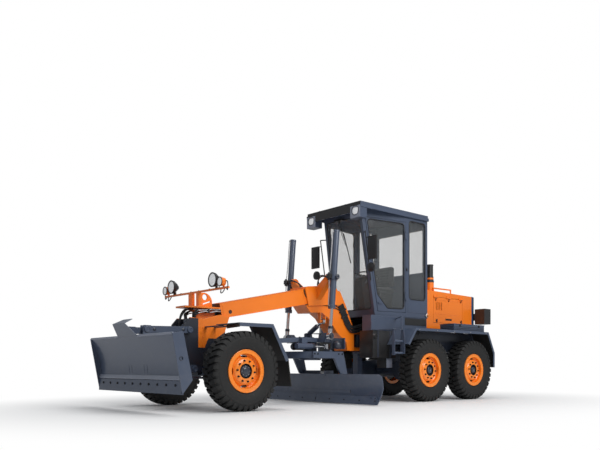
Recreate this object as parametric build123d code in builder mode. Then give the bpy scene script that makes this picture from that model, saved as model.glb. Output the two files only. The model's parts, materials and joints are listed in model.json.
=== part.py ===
"""Light motor grader with an articulated frame, a front dozer blade and a cab over the hinge.

Lengths are in millimetres. X points forward, Y to the machine's left and Z up. Stations are
measured forward from the middle of the tandem, heights upward from the ground.
"""

import math
import os

from build123d import *

os.makedirs("parts", exist_ok=True)

# Layout of the whole machine.
tandem_x = -2150.0
tandem_half_base = 656.0
front_axle_station = 4670.0
wheel_y = 1018.0
fit = 0.3
running_gap = 6.0

# Wheels.
tyre_radius = 557.0
tyre_width = 310.0
tread_half_width = 132.0
lug_count = 35
lug_height = 24.0
lug_share = 0.58
wall_radius = 432.0
bead_radius = 262.0
rim_flange_radius = 300.0
rim_wall = 20.0
rim_half_width = 122.0
rim_flange_thickness = 12.0
disc_thickness = 16.0
disc_face = 84.0
disc_corner_radius = 192.0
hub_radius = 124.0
hub_length_inboard = 150.0
stub_radius = 50.0
stub_end = 34.0
hub_nose_radius = 58.0
hub_nose_face = 112.0
hub_cup_radius = 104.0
hub_cup_floor = 48.0
hand_hole_radius = 208.0
hand_hole_size = (104.0, 34.0)

# Rear frame and tandem.
rail_outer_y = 340.0
rail_width = 80.0
rail_bottom = 900.0
rail_top = 1110.0
rail_rear = -1440.0
rail_front = 920.0
bumper_thickness = 60.0
bumper_half_width = 560.0
pivot_station = 1330.0
pivot_radius = 38.0
lug_radius = 105.0
rear_lug_low = 845.0
rear_lug_high = 1325.0
rear_lug_thickness = 50.0
front_lug_low = 905.0
front_lug_high = 1265.0
front_lug_thickness = 60.0
post_width = 120.0
post_bottom = 420.0
tandem_inner_y = 640.0
tandem_outer_y = 800.0
tandem_depth = 290.0
tandem_overhang = 190.0
axle_tube_radius = 125.0
differential_radius = 200.0

# Hood and engine.
hood_rear = -1464.0
hood_front = 118.0
hood_half_width = 550.0
hood_top_front = 2085.0
hood_top_rear = 2043.0
hood_bottom = 1380.0
hood_wall = 8.0
lid_front = -184.0
lid_rear = -1115.0
lid_top = 1965.0
lid_bottom = 1465.0
lid_hinge_radius = 9.0
lid_hinge_out = 9.5
lid_hinge_stations = (-1055, -661, -252)
louvre_stations = (-442, -386, -330, -274)
louvre_heights = (1720.0, 1870.0)
louvre_width = 18.0
lid_slot_stations = (-762.0, -562.0)
lid_slot_heights = (1530.0, 1552.0)
tail_panel_thickness = 46.0
grille_slats = 12
slat_half = 9.0
engine_size = (1050.0, 480.0, 620.0)
engine_station = -620.0
exhaust_station = -280.0
exhaust_y = 390.0
exhaust_radius = 62.0
exhaust_base_radius = 76.0
exhaust_base_top = 2290.0
exhaust_top = 2605.0

# Cab.
cab_half_width = 650.0
cab_rear = 126.0
door_slant = 10.0
cab_floor_bottom = 1520.0
cab_floor_thickness = 50.0
cab_sill_height = 80.0
cab_wall = 50.0
cab_eaves = 3330.0
cab_front_low = 1432.0
cab_front_lean = 0.1655
b_pillar_front = 742.0
window_head = 80.0
windscreen_pillar = 62.0
windscreen_low = 1645.0
rear_window_low = 2390.0
rear_window_half_width = 575.0
rear_side_low = 1850.0
pane_corner = 65.0
roof_front = 1966.0
roof_rear = 130.0
roof_half_width = 690.0
roof_height = 110.0
roof_skin = 40.0
lamp_box_y = (450.0, 682.0)
lamp_box_depth = 165.0
lamp_box_drop = 165.0
roof_lamp_radius = 84.0
glass_thickness = 8.0
visor_low = 3270.0
roof_lamp_y = 566.0
mirror_station = 1712.0
mirror_y = 730.0
mirror_high = 2870.0
round_mirror_y = 699.0
round_mirror_z = 2330.0
platform_bottom = 1250.0
platform_outer_y = 640.0
deck_thickness = 20.0
skirt_thickness = 12.0
skirt_front = 1653.0
gusset_thickness = 8.0
gusset = [(1345, 1511), (1653, 1395), (1653, 1259), (1038, 1259), (1038, 1310), (770, 1369)]
gusset_hole = (1060.0, 1285.0)
grab_top = 1490.0

# Front frame.
boom_half_width = 170.0
head_half_width = 190.0
head_plate_top = 1512.0
light_bar_z = (1715.0, 1742.0)
light_bar_half_length = 885.0
tow_hole = (4624.0, 1668.0)
tow_hole_radius = 45.0
tow_plate_thickness = 24.0

# Lift cylinders and blade gear.
lift_trunnion = (2468.0, 2103.0)
lift_eye = (2550.0, 1125.0)
lift_y = 560.0
lift_barrel_radius = 52.0
lift_rod_radius = 27.0
lift_barrel_above = 790.0
lift_barrel_below = 528.0
lift_bore_length = 620.0
lift_rod_engaged = 440.0
open_eye_play = 4.0
ball_station = 4270.0
ball_height = 960.0
ball_radius = 58.0
seat_outer = 78.0
seat_mouth = 5.0
drawbar_bottom = 1030.0
drawbar_top = 1100.0
plate_front = 3020.0
plate_half_width = 330.0
circle_station = 2500.0
circle_radius = 540.0
circle_width = 110.0
circle_top = 870.0
circle_bottom = 760.0
blade_length = 3040.0
edge_top = 150.0
blade_height = 485.0
blade_clear = 12.0
blade_station = 2370.0
blade_plate = 16.0
shoe_face = 2215.0
blade_rails = (210.0, 445.0)
rail_half = 20.0
rail_half_length = 800.0
arm_y = 520.0
arm_thickness = 40.0
swing_upper = (2330.0, 140.0, 1400.0)
swing_lower = (2330.0, -260.0, 1170.0)
swing_pin = 20.0
swing_eye_half = 28.0
swing_play = 12.0
swing_drift = 32.0
turn_y = 395.0
turn_z = 955.0
turn_mouth = 2760.0
turn_barrel_length = 380.0
turn_rod_radius = 22.0
shift_z = 520.0
shift_station = 2205.0

# Dozer.
dozer_half_width = 1245.0
dozer_plate = 14.0
dozer_pin_rear = (5030.0, 1150.0)
dozer_pin_front = (5720.0, 1135.0)
push_rear = (4950.0, 590.0)
push_front = (5640.0, 575.0)
link_pin = 30.0
dozer_link_y = 230.0
dozer_cylinder_top = (4925.0, 1285.0)
dozer_cylinder_low = (5340.0, 700.0)
guard_half_width = 290.0

# Steering.
kingpin_y = 790.0
kingpin_radius = 28.0
beam_centre = 557.0
beam_depth = 150.0
beam_half_length = 668.0
axle_pin_radius = 40.0
tie_rod_station_offset = -250.0


def side(y):
    """Gives the upright plane at a distance from the middle: station right, height up, facing -Y."""
    return Plane(origin=(tandem_x, y, 0), x_dir=(1, 0, 0), z_dir=(0, -1, 0))


def plan(z):
    """Gives the level plane at a height: station right, Y up, facing +Z."""
    return Plane(origin=(tandem_x, 0, z), x_dir=(1, 0, 0), z_dir=(0, 0, 1))


def front(station):
    """Gives the upright plane at a station: Y right, height up, facing +X."""
    return Plane(origin=(tandem_x + station, 0, 0), x_dir=(0, 1, 0), z_dir=(1, 0, 0))


def point(station, y, z):
    """Gives the model's point at a station."""
    return Vector(tandem_x + station, y, z)


def prism(plane, outline, depth, both=False, mode=Mode.ADD):
    """Extrudes a closed outline from its plane into the piece being built."""
    with BuildSketch(plane) as face:
        with BuildLine():
            Polyline(*outline, close=True)
        make_face()
    extrude(face.sketch, amount=depth, both=both, mode=mode)


def block(stations, ys, zs, mode=Mode.ADD):
    """Adds a box between two stations, two distances from the middle and two heights."""
    size = [abs(pair[1] - pair[0]) for pair in (stations, ys, zs)]
    middle = [(pair[1] + pair[0]) / 2 for pair in (stations, ys, zs)]
    with Locations(point(*middle)):
        Box(*size, mode=mode)


def bar(start, end, radius, mode=Mode.ADD):
    """Adds a round bar between two points."""
    run = end - start
    with BuildSketch(Plane(origin=start, z_dir=run.normalized())) as face:
        Circle(radius)
    extrude(face.sketch, amount=run.length, mode=mode)


def tube(start, end, radius, bore):
    """Adds a round tube between two points."""
    run = end - start
    with BuildSketch(Plane(origin=start, z_dir=run.normalized())) as face:
        Circle(radius)
        Circle(bore, mode=Mode.SUBTRACT)
    extrude(face.sketch, amount=run.length)


def cross_bar(station, z, radius, y_from, y_to, mode=Mode.ADD):
    """Adds a round bar across the machine."""
    bar(point(station, y_from, z), point(station, y_to, z), radius, mode)


def finish(name, part):
    """Labels a finished piece and writes it."""
    part.label = name
    export_step(part, f"parts/{name}.step")


def pane(plane, outline, radius, depth, both=False, mode=Mode.ADD):
    """Extrudes a closed outline with rounded corners from its plane."""
    with BuildSketch(plane) as face:
        with BuildLine():
            Polyline(*outline, close=True)
        make_face()
        fillet(face.vertices(), radius)
    extrude(face.sketch, amount=depth, both=both, mode=mode)


def turned_ahead(centre, profile):
    """Revolves an outline of distance ahead and radius about an axis along the machine."""
    with BuildSketch(Plane(origin=centre, x_dir=(1, 0, 0), z_dir=(0, -1, 0))) as face:
        with BuildLine():
            Polyline(*profile, close=True)
        make_face()
    revolve(face.sketch, Axis(centre, (1, 0, 0)))


def turned(centre, profile):
    """Revolves an outline of radius and axial distance about an axis across the machine."""
    with BuildSketch(Plane(origin=centre, x_dir=(1, 0, 0), z_dir=(0, 0, 1))) as face:
        with BuildLine():
            Polyline(*profile, close=True)
        make_face()
    revolve(face.sketch, Axis(centre, (0, 1, 0)))


# Tyres and rims, one of each for every wheel. Columns: name, station, side, hub style.
wheels = [
    ("front_left", front_axle_station, 1, "cup"),
    ("front_right", front_axle_station, -1, "cup"),
    ("mid_left", tandem_half_base, 1, "nose"),
    ("mid_right", tandem_half_base, -1, "nose"),
    ("rear_left", -tandem_half_base, 1, "nose"),
    ("rear_right", -tandem_half_base, -1, "nose"),
]

facet = 2 * math.pi / lug_count
carcass_radius = tyre_radius - lug_height
flat_width = 2 * carcass_radius * math.tan(facet / 2)
lug_sunk = 1.0
bead_half_width = rim_half_width - rim_flange_thickness - fit
wall_half_width = tyre_width / 2


def ring(radius):
    """Gives the corners of a ring of flats, one of them level at the bottom."""
    reach = radius / math.cos(facet / 2)
    turns = [(place + 0.5) * facet for place in range(lug_count)]
    return [(reach * math.sin(turn), -reach * math.cos(turn)) for turn in turns]


def lug_corners(turn):
    """Gives one lug's corners on the flat that faces the given way from straight down."""
    start, end = -flat_width / 2, (lug_share - 0.5) * flat_width
    low, high = carcass_radius - lug_sunk, tyre_radius
    corners = [(low, start), (high, start), (high, end), (low, end)]
    return [(out * math.sin(turn) + along * math.cos(turn), -out * math.cos(turn) + along * math.sin(turn))
            for out, along in corners]


# Sections of the tyre from one bead over the tread to the other. Columns: distance, radius.
tyre_sections = [
    (-bead_half_width, rim_flange_radius + 4),
    (-wall_half_width, wall_radius),
    (-tread_half_width, carcass_radius),
    (tread_half_width, carcass_radius),
    (wall_half_width, wall_radius),
    (bead_half_width, rim_flange_radius + 4),
]
rim_inner = bead_radius - rim_wall
cup_face = [(hub_cup_radius - 6, hub_cup_floor), (hub_cup_radius, disc_face)]
nose_face = [(0, hub_nose_face), (hub_nose_radius - 12, hub_nose_face), (hub_nose_radius, hub_nose_face - 12),
             (hub_nose_radius, hub_cup_floor)]

for name, station, hand, hub_style in wheels:
    centre = point(station, hand * wheel_y, tyre_radius)
    with BuildPart() as tyre:
        for distance, radius in tyre_sections:
            with BuildSketch(Plane(origin=centre + Vector(0, distance, 0), x_dir=(1, 0, 0), z_dir=(0, -1, 0))):
                with BuildLine():
                    Polyline(*ring(radius), close=True)
                make_face()
        loft(ruled=True)
        middle_plane = Plane(origin=centre, x_dir=(1, 0, 0), z_dir=(0, -1, 0))
        prism(middle_plane, ring(bead_radius + fit), tyre_width, both=True, mode=Mode.SUBTRACT)
        with BuildSketch(middle_plane) as lugs:
            for place in range(lug_count):
                with BuildLine():
                    Polyline(*lug_corners(place * facet), close=True)
                make_face()
        extrude(lugs.sketch, amount=tread_half_width, both=True)
    finish(f"tyre_{name}", tyre.part)

    front_face = (nose_face if hub_style == "nose" else [(0, hub_cup_floor)]) + cup_face
    rim_profile = front_face + [
        (disc_corner_radius, disc_face),
        (rim_inner - 14, disc_face - 34),
        (rim_inner, disc_face - 20),
        (rim_inner, rim_half_width),
        (rim_flange_radius, rim_half_width),
        (rim_flange_radius, rim_half_width - rim_flange_thickness),
        (bead_radius, rim_half_width - rim_flange_thickness),
        (bead_radius, -rim_half_width + rim_flange_thickness),
        (rim_flange_radius, -rim_half_width + rim_flange_thickness),
        (rim_flange_radius, -rim_half_width),
        (rim_inner, -rim_half_width),
        (rim_inner, disc_face - 40),
        (rim_inner - 12, disc_face - 34 - disc_thickness),
        (disc_corner_radius - 6, disc_face - disc_thickness),
        (hub_radius, disc_face - disc_thickness),
        (hub_radius, -hub_length_inboard),
        (stub_radius + fit, -hub_length_inboard),
        (stub_radius + fit, stub_end),
        (0, stub_end),
    ]
    with BuildPart() as rim:
        turned(centre, [(radius, hand * y) for radius, y in rim_profile])
        hole_face = centre + Vector(0, hand * disc_face, 0)
        with BuildSketch(Plane(origin=hole_face, x_dir=(1, 0, 0), z_dir=(0, -hand, 0))) as holes:
            with PolarLocations(hand_hole_radius, 4):
                SlotOverall(*hand_hole_size, rotation=90)
        extrude(holes.sketch, amount=disc_thickness + 40, mode=Mode.SUBTRACT)
    finish(f"rim_{name}", rim.part)

# Rear frame: rails, bumper, hinge head with two lugs, pivot post, cab platform.
with BuildPart() as rear_frame:
    for hand in (1, -1):
        block((rail_rear, rail_front), (hand * (rail_outer_y - rail_width), hand * rail_outer_y),
              (rail_bottom, rail_top))
    block((rail_rear - bumper_thickness, rail_rear), (-bumper_half_width, bumper_half_width),
          (rail_bottom - 60, rail_top + 60))
    for station in (-1100, -300, 500):
        block((station, station + 80), (-rail_outer_y + 10, rail_outer_y - 10),
              (rail_bottom + 20, rail_top))
    block((rail_front - 90, rail_front), (-rail_outer_y, rail_outer_y), (rear_lug_low, rear_lug_high))
    for bottom in (rear_lug_low, rear_lug_high - rear_lug_thickness):
        with BuildSketch(plan(bottom)) as lug:
            with BuildLine():
                Polyline((rail_front, -240), (rail_front, 240), (pivot_station, lug_radius),
                         (pivot_station, -lug_radius), close=True)
            make_face()
            with Locations((pivot_station, 0)):
                Circle(lug_radius)
        extrude(lug.sketch, amount=rear_lug_thickness)
    bar(point(pivot_station, 0, rear_lug_low), point(pivot_station, 0, rear_lug_high), pivot_radius)
    block((pivot_station - post_width / 2, pivot_station + post_width / 2),
          (-post_width / 2, post_width / 2), (post_bottom, rear_lug_low))
    # Platform under the cab: a deck on two brackets with a gusseted skirt on each side.
    deck_bottom = cab_floor_bottom - deck_thickness
    for hand in (1, -1):
        block((cab_rear + 10, skirt_front), (hand * 420, hand * (platform_outer_y - 2)),
              (deck_bottom, cab_floor_bottom))
        block((cab_rear + 10, skirt_front), (hand * (platform_outer_y - skirt_thickness), hand * platform_outer_y),
              (platform_bottom, deck_bottom + 11))
        prism(side(hand * platform_outer_y), gusset, -hand * gusset_thickness)
        block((skirt_front - skirt_thickness, skirt_front), (hand * 430, hand * platform_outer_y),
              (platform_bottom, deck_bottom + 11))
        cross_bar(gusset_hole[0], gusset_hole[1], 14, hand * (platform_outer_y - 40),
                  hand * (platform_outer_y + 20), mode=Mode.SUBTRACT)
        for station in (300, 840):
            block((station, station + 80), (hand * (rail_outer_y - rail_width), hand * 430),
                  (rail_top - 10, deck_bottom + 5))
            block((station, station + 80), (hand * 400, hand * (platform_outer_y - 5)),
                  (deck_bottom - 120, deck_bottom + 5))
    block((840, rail_front), (-430, 430), (rear_lug_high - 30, cab_floor_bottom))
finish("rear_frame", rear_frame.part)

# Tandem: axle tube with differential, two walking housings and four stub axles.
with BuildPart() as tandem_axle:
    cross_bar(0, tyre_radius, axle_tube_radius, -tandem_inner_y, tandem_inner_y)
    bar(point(-150, 0, tyre_radius), point(150, 0, tyre_radius), differential_radius)
    for hand in (1, -1):
        prism(side(hand * rail_outer_y),
              [(-120, tyre_radius), (120, tyre_radius), (170, rail_bottom), (-170, rail_bottom)],
              hand * rail_width)
        end = tandem_half_base + tandem_overhang
        half = tandem_depth / 2
        prism(side(hand * tandem_outer_y),
              [(-end, tyre_radius - half + 70), (-end + 90, tyre_radius - half),
               (end - 90, tyre_radius - half), (end, tyre_radius - half + 70),
               (end, tyre_radius + half - 90), (end - 90, tyre_radius + half),
               (160, tyre_radius + half + 60), (-160, tyre_radius + half + 60),
               (-end + 90, tyre_radius + half), (-end, tyre_radius + half - 90)],
              hand * (tandem_outer_y - tandem_inner_y))
        for station in (tandem_half_base, -tandem_half_base):
            cross_bar(station, tyre_radius, stub_radius, hand * tandem_outer_y,
                      hand * (wheel_y + stub_end - running_gap))
finish("tandem_axle", tandem_axle.part)

# Engine: one plain block between the rails.
with BuildPart() as engine_block:
    length, width, height = engine_size
    block((engine_station - length / 2, engine_station + length / 2), (-width / 2, width / 2),
          (rail_top, rail_top + height))
finish("engine_block", engine_block.part)

# Hood: roof and ends over the engine, open at the sides where the lids close it.
with BuildPart() as hood:
    outline = [(hood_rear, hood_bottom), (hood_front, hood_bottom), (hood_front, hood_top_front),
               (hood_rear, hood_top_rear)]
    prism(side(0), outline, hood_half_width, both=True)
    inner = [(hood_rear + hood_wall, hood_bottom - 10), (hood_front - hood_wall, hood_bottom - 10),
             (hood_front - hood_wall, hood_top_front - hood_wall),
             (hood_rear + hood_wall, hood_top_rear - hood_wall)]
    prism(side(0), inner, hood_half_width - hood_wall, both=True, mode=Mode.SUBTRACT)
    block((lid_rear, lid_front), (-hood_half_width - 10, hood_half_width + 10), (lid_bottom, lid_top),
          mode=Mode.SUBTRACT)
    # Sills and legs that carry the hood on the rails, lid hinge lugs and the roof handrails.
    for hand in (1, -1):
        block((hood_rear + 100, hood_front - 100), (hand * rail_outer_y, hand * hood_half_width),
              (hood_bottom - 30, hood_bottom))
        for station in (-1300, -640, -60):
            block((station, station + 60), (hand * (rail_outer_y - 60), hand * rail_outer_y),
                  (rail_top, hood_bottom))
        block((hood_rear + 100, hood_front - 100), (hand * (rail_outer_y - 60), hand * rail_outer_y),
              (hood_bottom - 30, hood_bottom))
        for station in lid_hinge_stations:
            for end in (-1, 1):
                near, far = station + end * (40 + fit), station + end * 66
                bar(point(near, hand * (hood_half_width + lid_hinge_out), lid_top - running_gap),
                    point(far, hand * (hood_half_width + lid_hinge_out), lid_top - running_gap),
                    lid_hinge_radius)
                block((near, far), (hand * hood_half_width, hand * (hood_half_width + lid_hinge_out)),
                      (lid_top - running_gap, lid_top + 40))
        rail_y = hand * (hood_half_width - 60)
        bar(point(-264, rail_y, 2060), point(-264, rail_y, 2150), 14)
        bar(point(-804, rail_y, 2045), point(-804, rail_y, 2150), 14)
        bar(point(-264, rail_y, 2140), point(-804, rail_y, 2140), 14)
finish("hood", hood.part)

for name, hand in (("left", 1), ("right", -1)):
    with BuildPart() as lid:
        block((lid_rear + running_gap, lid_front - running_gap),
              (hand * (hood_half_width - hood_wall), hand * hood_half_width),
              (lid_bottom + running_gap, lid_top - running_gap))
        hinge_z = lid_top - running_gap
        for station in lid_hinge_stations:
            bar(point(station - 40, hand * (hood_half_width + lid_hinge_out), hinge_z),
                point(station + 40, hand * (hood_half_width + lid_hinge_out), hinge_z), lid_hinge_radius)
            block((station - 30, station + 30), (hand * hood_half_width, hand * (hood_half_width + 8)),
                  (hinge_z - 40, hinge_z))
        # Louvre slots and the hand slot near the lower edge.
        for station in louvre_stations:
            block((station - louvre_width / 2, station + louvre_width / 2),
                  (hand * (hood_half_width - hood_wall - 5), hand * (hood_half_width + 5)), louvre_heights,
                  mode=Mode.SUBTRACT)
        block(lid_slot_stations, (hand * (hood_half_width - hood_wall - 5), hand * (hood_half_width + 5)),
              lid_slot_heights, mode=Mode.SUBTRACT)
    finish(f"hood_lid_{name}", lid.part)

# Tail: radiator panel behind the hood with a lamp box at each corner.
with BuildPart() as tail_panel:
    block((hood_rear - tail_panel_thickness, hood_rear), (-hood_half_width + 4, hood_half_width - 4),
          (hood_bottom + 10, hood_top_rear - 4))
    grille_low, grille_high = hood_bottom + 90, hood_top_rear - 80
    grille_half_width = hood_half_width - 90
    block((hood_rear - tail_panel_thickness - 5, hood_rear - 6), (-grille_half_width, grille_half_width),
          (grille_low, grille_high), mode=Mode.SUBTRACT)
    pitch = (grille_high - grille_low) / grille_slats
    for place in range(1, grille_slats):
        slat_z = grille_low + place * pitch
        block((hood_rear - tail_panel_thickness + 4, hood_rear - 5), (-grille_half_width - 5, grille_half_width + 5),
              (slat_z - slat_half, slat_z + slat_half))
    for hand in (1, -1):
        block((hood_rear - 60, hood_rear - 16), (hand * (hood_half_width - 30), hand * 640), (1560, 1700))
        block((hood_rear - 236, hood_rear - 16), (hand * 590, hand * 820), (1480, 1790))
finish("tail_panel", tail_panel.part)

# Exhaust: a lined base on the hood's roof and the black pipe on it.
with BuildPart() as exhaust_base:
    bar(point(exhaust_station, exhaust_y, hood_top_rear - 20), point(exhaust_station, exhaust_y, exhaust_base_top),
        exhaust_base_radius)
    hood_normal = (hood_top_rear - hood_top_front, 0, hood_front - hood_rear)
    split(bisect_by=Plane(origin=point(hood_front, 0, hood_top_front + fit), z_dir=hood_normal), keep=Keep.TOP)
finish("exhaust_base", exhaust_base.part)

with BuildPart() as exhaust:
    tube(point(exhaust_station, exhaust_y, exhaust_base_top), point(exhaust_station, exhaust_y, exhaust_top),
         exhaust_radius, exhaust_radius - 6)
    bar(point(exhaust_station, exhaust_y, exhaust_base_top),
        point(exhaust_station, exhaust_y, exhaust_base_top + 80), exhaust_radius + 8)
finish("exhaust", exhaust.part)

# Rear fenders: a bent plate over each pair of tandem wheels, and the tool box on the left one.
fender_line = [(1293, 1008), (1092, 1291), (-1091, 1285), (-1301, 889), (-1301, 604)]
fender_under = [(1285, 1004), (1088, 1283), (-1086, 1277), (-1293, 887), (-1293, 604)]
fender_lip = [(1257, 990), (1072, 1245), (-1068, 1239), (-1257, 879), (-1257, 604)]
with BuildPart() as rear_fenders:
    for hand in (1, -1):
        prism(side(hand * 1175), fender_line + fender_under[::-1], hand * 485)
        prism(side(hand * 1175), fender_line + fender_lip[::-1], hand * 8)
        for station in (-820, 520):
            block((station, station + 70), (hand * rail_outer_y, hand * 610), (rail_top - 90, rail_top))
            block((station, station + 70), (hand * 560, hand * 610), (rail_top - 90, platform_bottom - 1))
            block((station, station + 70), (hand * 560, hand * 780), (1190, platform_bottom - 1))
            block((station, station + 70), (hand * 660, hand * 780), (platform_bottom - 5, 1284))
    block((-1080, -120), (760, 1080), (1282, 1420))
finish("rear_fenders", rear_fenders.part)

# Tanks under the cab.
with BuildPart() as tanks:
    for hand in (1, -1):
        block((1055, 1650), (hand * 362, hand * 680), (774, platform_bottom))
        block((1075, 1240), (hand * 400, hand * 620), (595, 774))
finish("tanks", tanks.part)

# Steps up to each door: a wide rear stringer, a narrow one, three rungs and a grab bar.
step_front = 1532.0
step_rear = 1300.0
# Columns: rung's bottom, rung's top.
rungs = [(842, 868), (1045, 1071), (platform_bottom + fit, platform_bottom + 8)]
with BuildPart() as steps:
    for hand in (1, -1):
        prism(front(step_rear), [(hand * 1010, 837), (hand * 1105, 837), (hand * 1105, 1090),
                                 (hand * 1080, platform_bottom + 8), (hand * 1030, platform_bottom + 8),
                                 (hand * 1010, 1090)], 12)
        prism(front(step_front), [(hand * 1020, 814), (hand * 1085, 814), (hand * 1085, 1120),
                                  (hand * 1070, platform_bottom + 8), (hand * 1030, platform_bottom + 8),
                                  (hand * 1020, 1120)], 12)
        for low, high in rungs:
            block((step_rear, step_front + 12), (hand * 1025, hand * 1075), (low, high))
        for station in (step_rear, step_front):
            block((station, station + 40), (hand * platform_outer_y, hand * 1060), rungs[-1])
        bar(point(step_rear + 14, hand * 1040, platform_bottom), point(step_rear + 14, hand * 1040, grab_top), 12)
        bar(point(step_rear + 14, hand * 1040, grab_top - 12),
            point(step_rear - 300, hand * (platform_outer_y - 4), grab_top - 12), 12)
    add(rear_frame.part, mode=Mode.SUBTRACT)
finish("steps", steps.part)


def windscreen_station(z):
    """Gives the station of the cab's leaning front face at a height."""
    return cab_front_low + (z - cab_floor_bottom) * cab_front_lean


slant_run = math.cos(math.radians(door_slant))
slant_rise = math.sin(math.radians(door_slant))


def cab_half(station):
    """Gives half the cab's outer width, which narrows ahead of the rear pillars."""
    return cab_half_width - max(0, station - b_pillar_front) * slant_rise / slant_run


def cab_plan(inset, ahead):
    """Gives the cab's outline from above, drawn in by an inset and ended at a station."""
    half = [(cab_rear + inset, cab_half_width - inset), (b_pillar_front, cab_half_width - inset),
            (ahead, cab_half(ahead) - inset)]
    return half + [(station, -y) for station, y in half[::-1]]


def door_plane(hand):
    """Gives a door's outer face: distance ahead of the rear pillar right, height up."""
    return Plane(origin=point(b_pillar_front, hand * cab_half_width, 0), x_dir=(slant_run, -hand * slant_rise, 0),
                 z_dir=(-hand * slant_rise, -slant_run, 0))


def on_door(outline):
    """Turns stations and heights into distances along a door and heights."""
    return [((station - b_pillar_front) / slant_run, z) for station, z in outline]


def windscreen_outline(clear):
    """Gives the windscreen's opening from the front, less a clearance."""
    low, high = windscreen_low + clear, cab_eaves - window_head - clear
    corners = [(cab_half(windscreen_station(z)) - windscreen_pillar - clear, z) for z in (low, high)]
    return corners + [(-y, z) for y, z in corners[::-1]]


# Cab frame: floor, pillars, rear wall and headers.
cab_sill_top = cab_floor_bottom + cab_sill_height
floor_top = cab_floor_bottom + cab_floor_thickness
header_low = cab_eaves - window_head
side_outline = [(cab_rear, cab_floor_bottom), (windscreen_station(cab_floor_bottom), cab_floor_bottom),
                (windscreen_station(cab_eaves), cab_eaves), (cab_rear, cab_eaves)]
hinge_out = 14.0
hinge_heights = (cab_sill_top + 300, header_low - 250)
front_pillar = 70.0
door_outline = [(b_pillar_front, cab_sill_top), (windscreen_station(cab_sill_top) - front_pillar, cab_sill_top),
                (windscreen_station(header_low) - front_pillar, header_low), (b_pillar_front, header_low)]
rear_side_high = cab_eaves - 45
rear_side_window = [(190, rear_side_low), (652, rear_side_low), (652, rear_side_high), (190, rear_side_high)]

with BuildPart() as cab_room:
    room = [(cab_rear + cab_wall, floor_top), (windscreen_station(floor_top) - cab_wall, floor_top),
            (windscreen_station(cab_eaves + 10) - cab_wall, cab_eaves + 10),
            (cab_rear + cab_wall, cab_eaves + 10)]
    prism(side(0), room, cab_half_width, both=True)
    prism(plan(cab_floor_bottom), cab_plan(cab_wall, roof_front), cab_eaves, mode=Mode.INTERSECT)

with BuildPart() as cab_frame:
    prism(side(0), side_outline, cab_half_width, both=True)
    prism(plan(cab_floor_bottom - 10), cab_plan(0, roof_front), cab_eaves, mode=Mode.INTERSECT)
    add(cab_room.part, mode=Mode.SUBTRACT)
    for hand in (1, -1):
        prism(door_plane(hand), on_door(door_outline), hand * (cab_wall + 30), mode=Mode.SUBTRACT)
        pane(side(hand * (cab_half_width + 10)), rear_side_window, pane_corner, hand * (cab_wall + 30),
             mode=Mode.SUBTRACT)
    pane(front(cab_front_low - 100), windscreen_outline(0), pane_corner, 600, mode=Mode.SUBTRACT)
    block((cab_rear - 10, cab_rear + cab_wall + 10), (-rear_window_half_width, rear_window_half_width),
          (rear_window_low, header_low - 50), mode=Mode.SUBTRACT)
    for hand in (1, -1):
        # Lamp foot at the lower rear corner, then the hinge lugs of the door on the rear pillar.
        block((cab_rear, cab_rear + 60), (hand * cab_half_width, hand * (cab_half_width + 16)),
              (cab_floor_bottom + 20, cab_floor_bottom + 90))
        for height in hinge_heights:
            for end in (-1, 1):
                near, far = height + end * (45 + fit), height + end * 75
                hinge_y = cab_half_width + hinge_out
                block((b_pillar_front - 30, b_pillar_front), (hand * (cab_half_width - 5), hand * (hinge_y + 9)),
                      (near, far))
                block((b_pillar_front - 10, b_pillar_front + 15), (hand * (hinge_y - 9), hand * (hinge_y + 9)),
                      (near, far))
                bar(point(b_pillar_front + 15, hand * hinge_y, near),
                    point(b_pillar_front + 15, hand * hinge_y, far), 9)
finish("cab_frame", cab_frame.part)

# Roof: a hollow cap that overhangs the windscreen, its visor and a lamp box at each front corner.
roof_top = cab_eaves + roof_height
roof_edge = 20.0
roof_step = 45.0
with BuildPart() as cab_roof:
    block((roof_rear, roof_front), (-roof_half_width, roof_half_width), (cab_eaves + 10, roof_top - roof_step))
    block((roof_rear + 12, roof_front - 12), (-roof_half_width + 12, roof_half_width - 12),
          (roof_top - roof_step, roof_top))
    block((roof_rear + roof_edge, roof_front - roof_edge), (-roof_half_width + roof_edge, roof_half_width - roof_edge),
          (cab_eaves, roof_top - roof_skin), mode=Mode.SUBTRACT)
    prism(plan(cab_eaves), cab_plan(0, windscreen_station(cab_eaves)), roof_height - 5)
    prism(plan(cab_eaves - 1), cab_plan(cab_wall, windscreen_station(cab_eaves) - cab_wall),
          roof_height - roof_skin + 1, mode=Mode.SUBTRACT)
    block((roof_front - roof_edge, roof_front), (-lamp_box_y[0], lamp_box_y[0]), (visor_low, roof_top - roof_step))
    for hand in (1, -1):
        low, high = roof_top - roof_step - lamp_box_drop - 65, roof_top - roof_step
        block((roof_front - lamp_box_depth, roof_front), (hand * lamp_box_y[0], hand * lamp_box_y[1]), (low, high))
        lamp = point(roof_front - 30, hand * roof_lamp_y, cab_eaves - 40)
        bar(lamp, lamp + Vector(40, 0, 0), roof_lamp_radius, mode=Mode.SUBTRACT)
finish("cab_roof", cab_roof.part)

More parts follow.
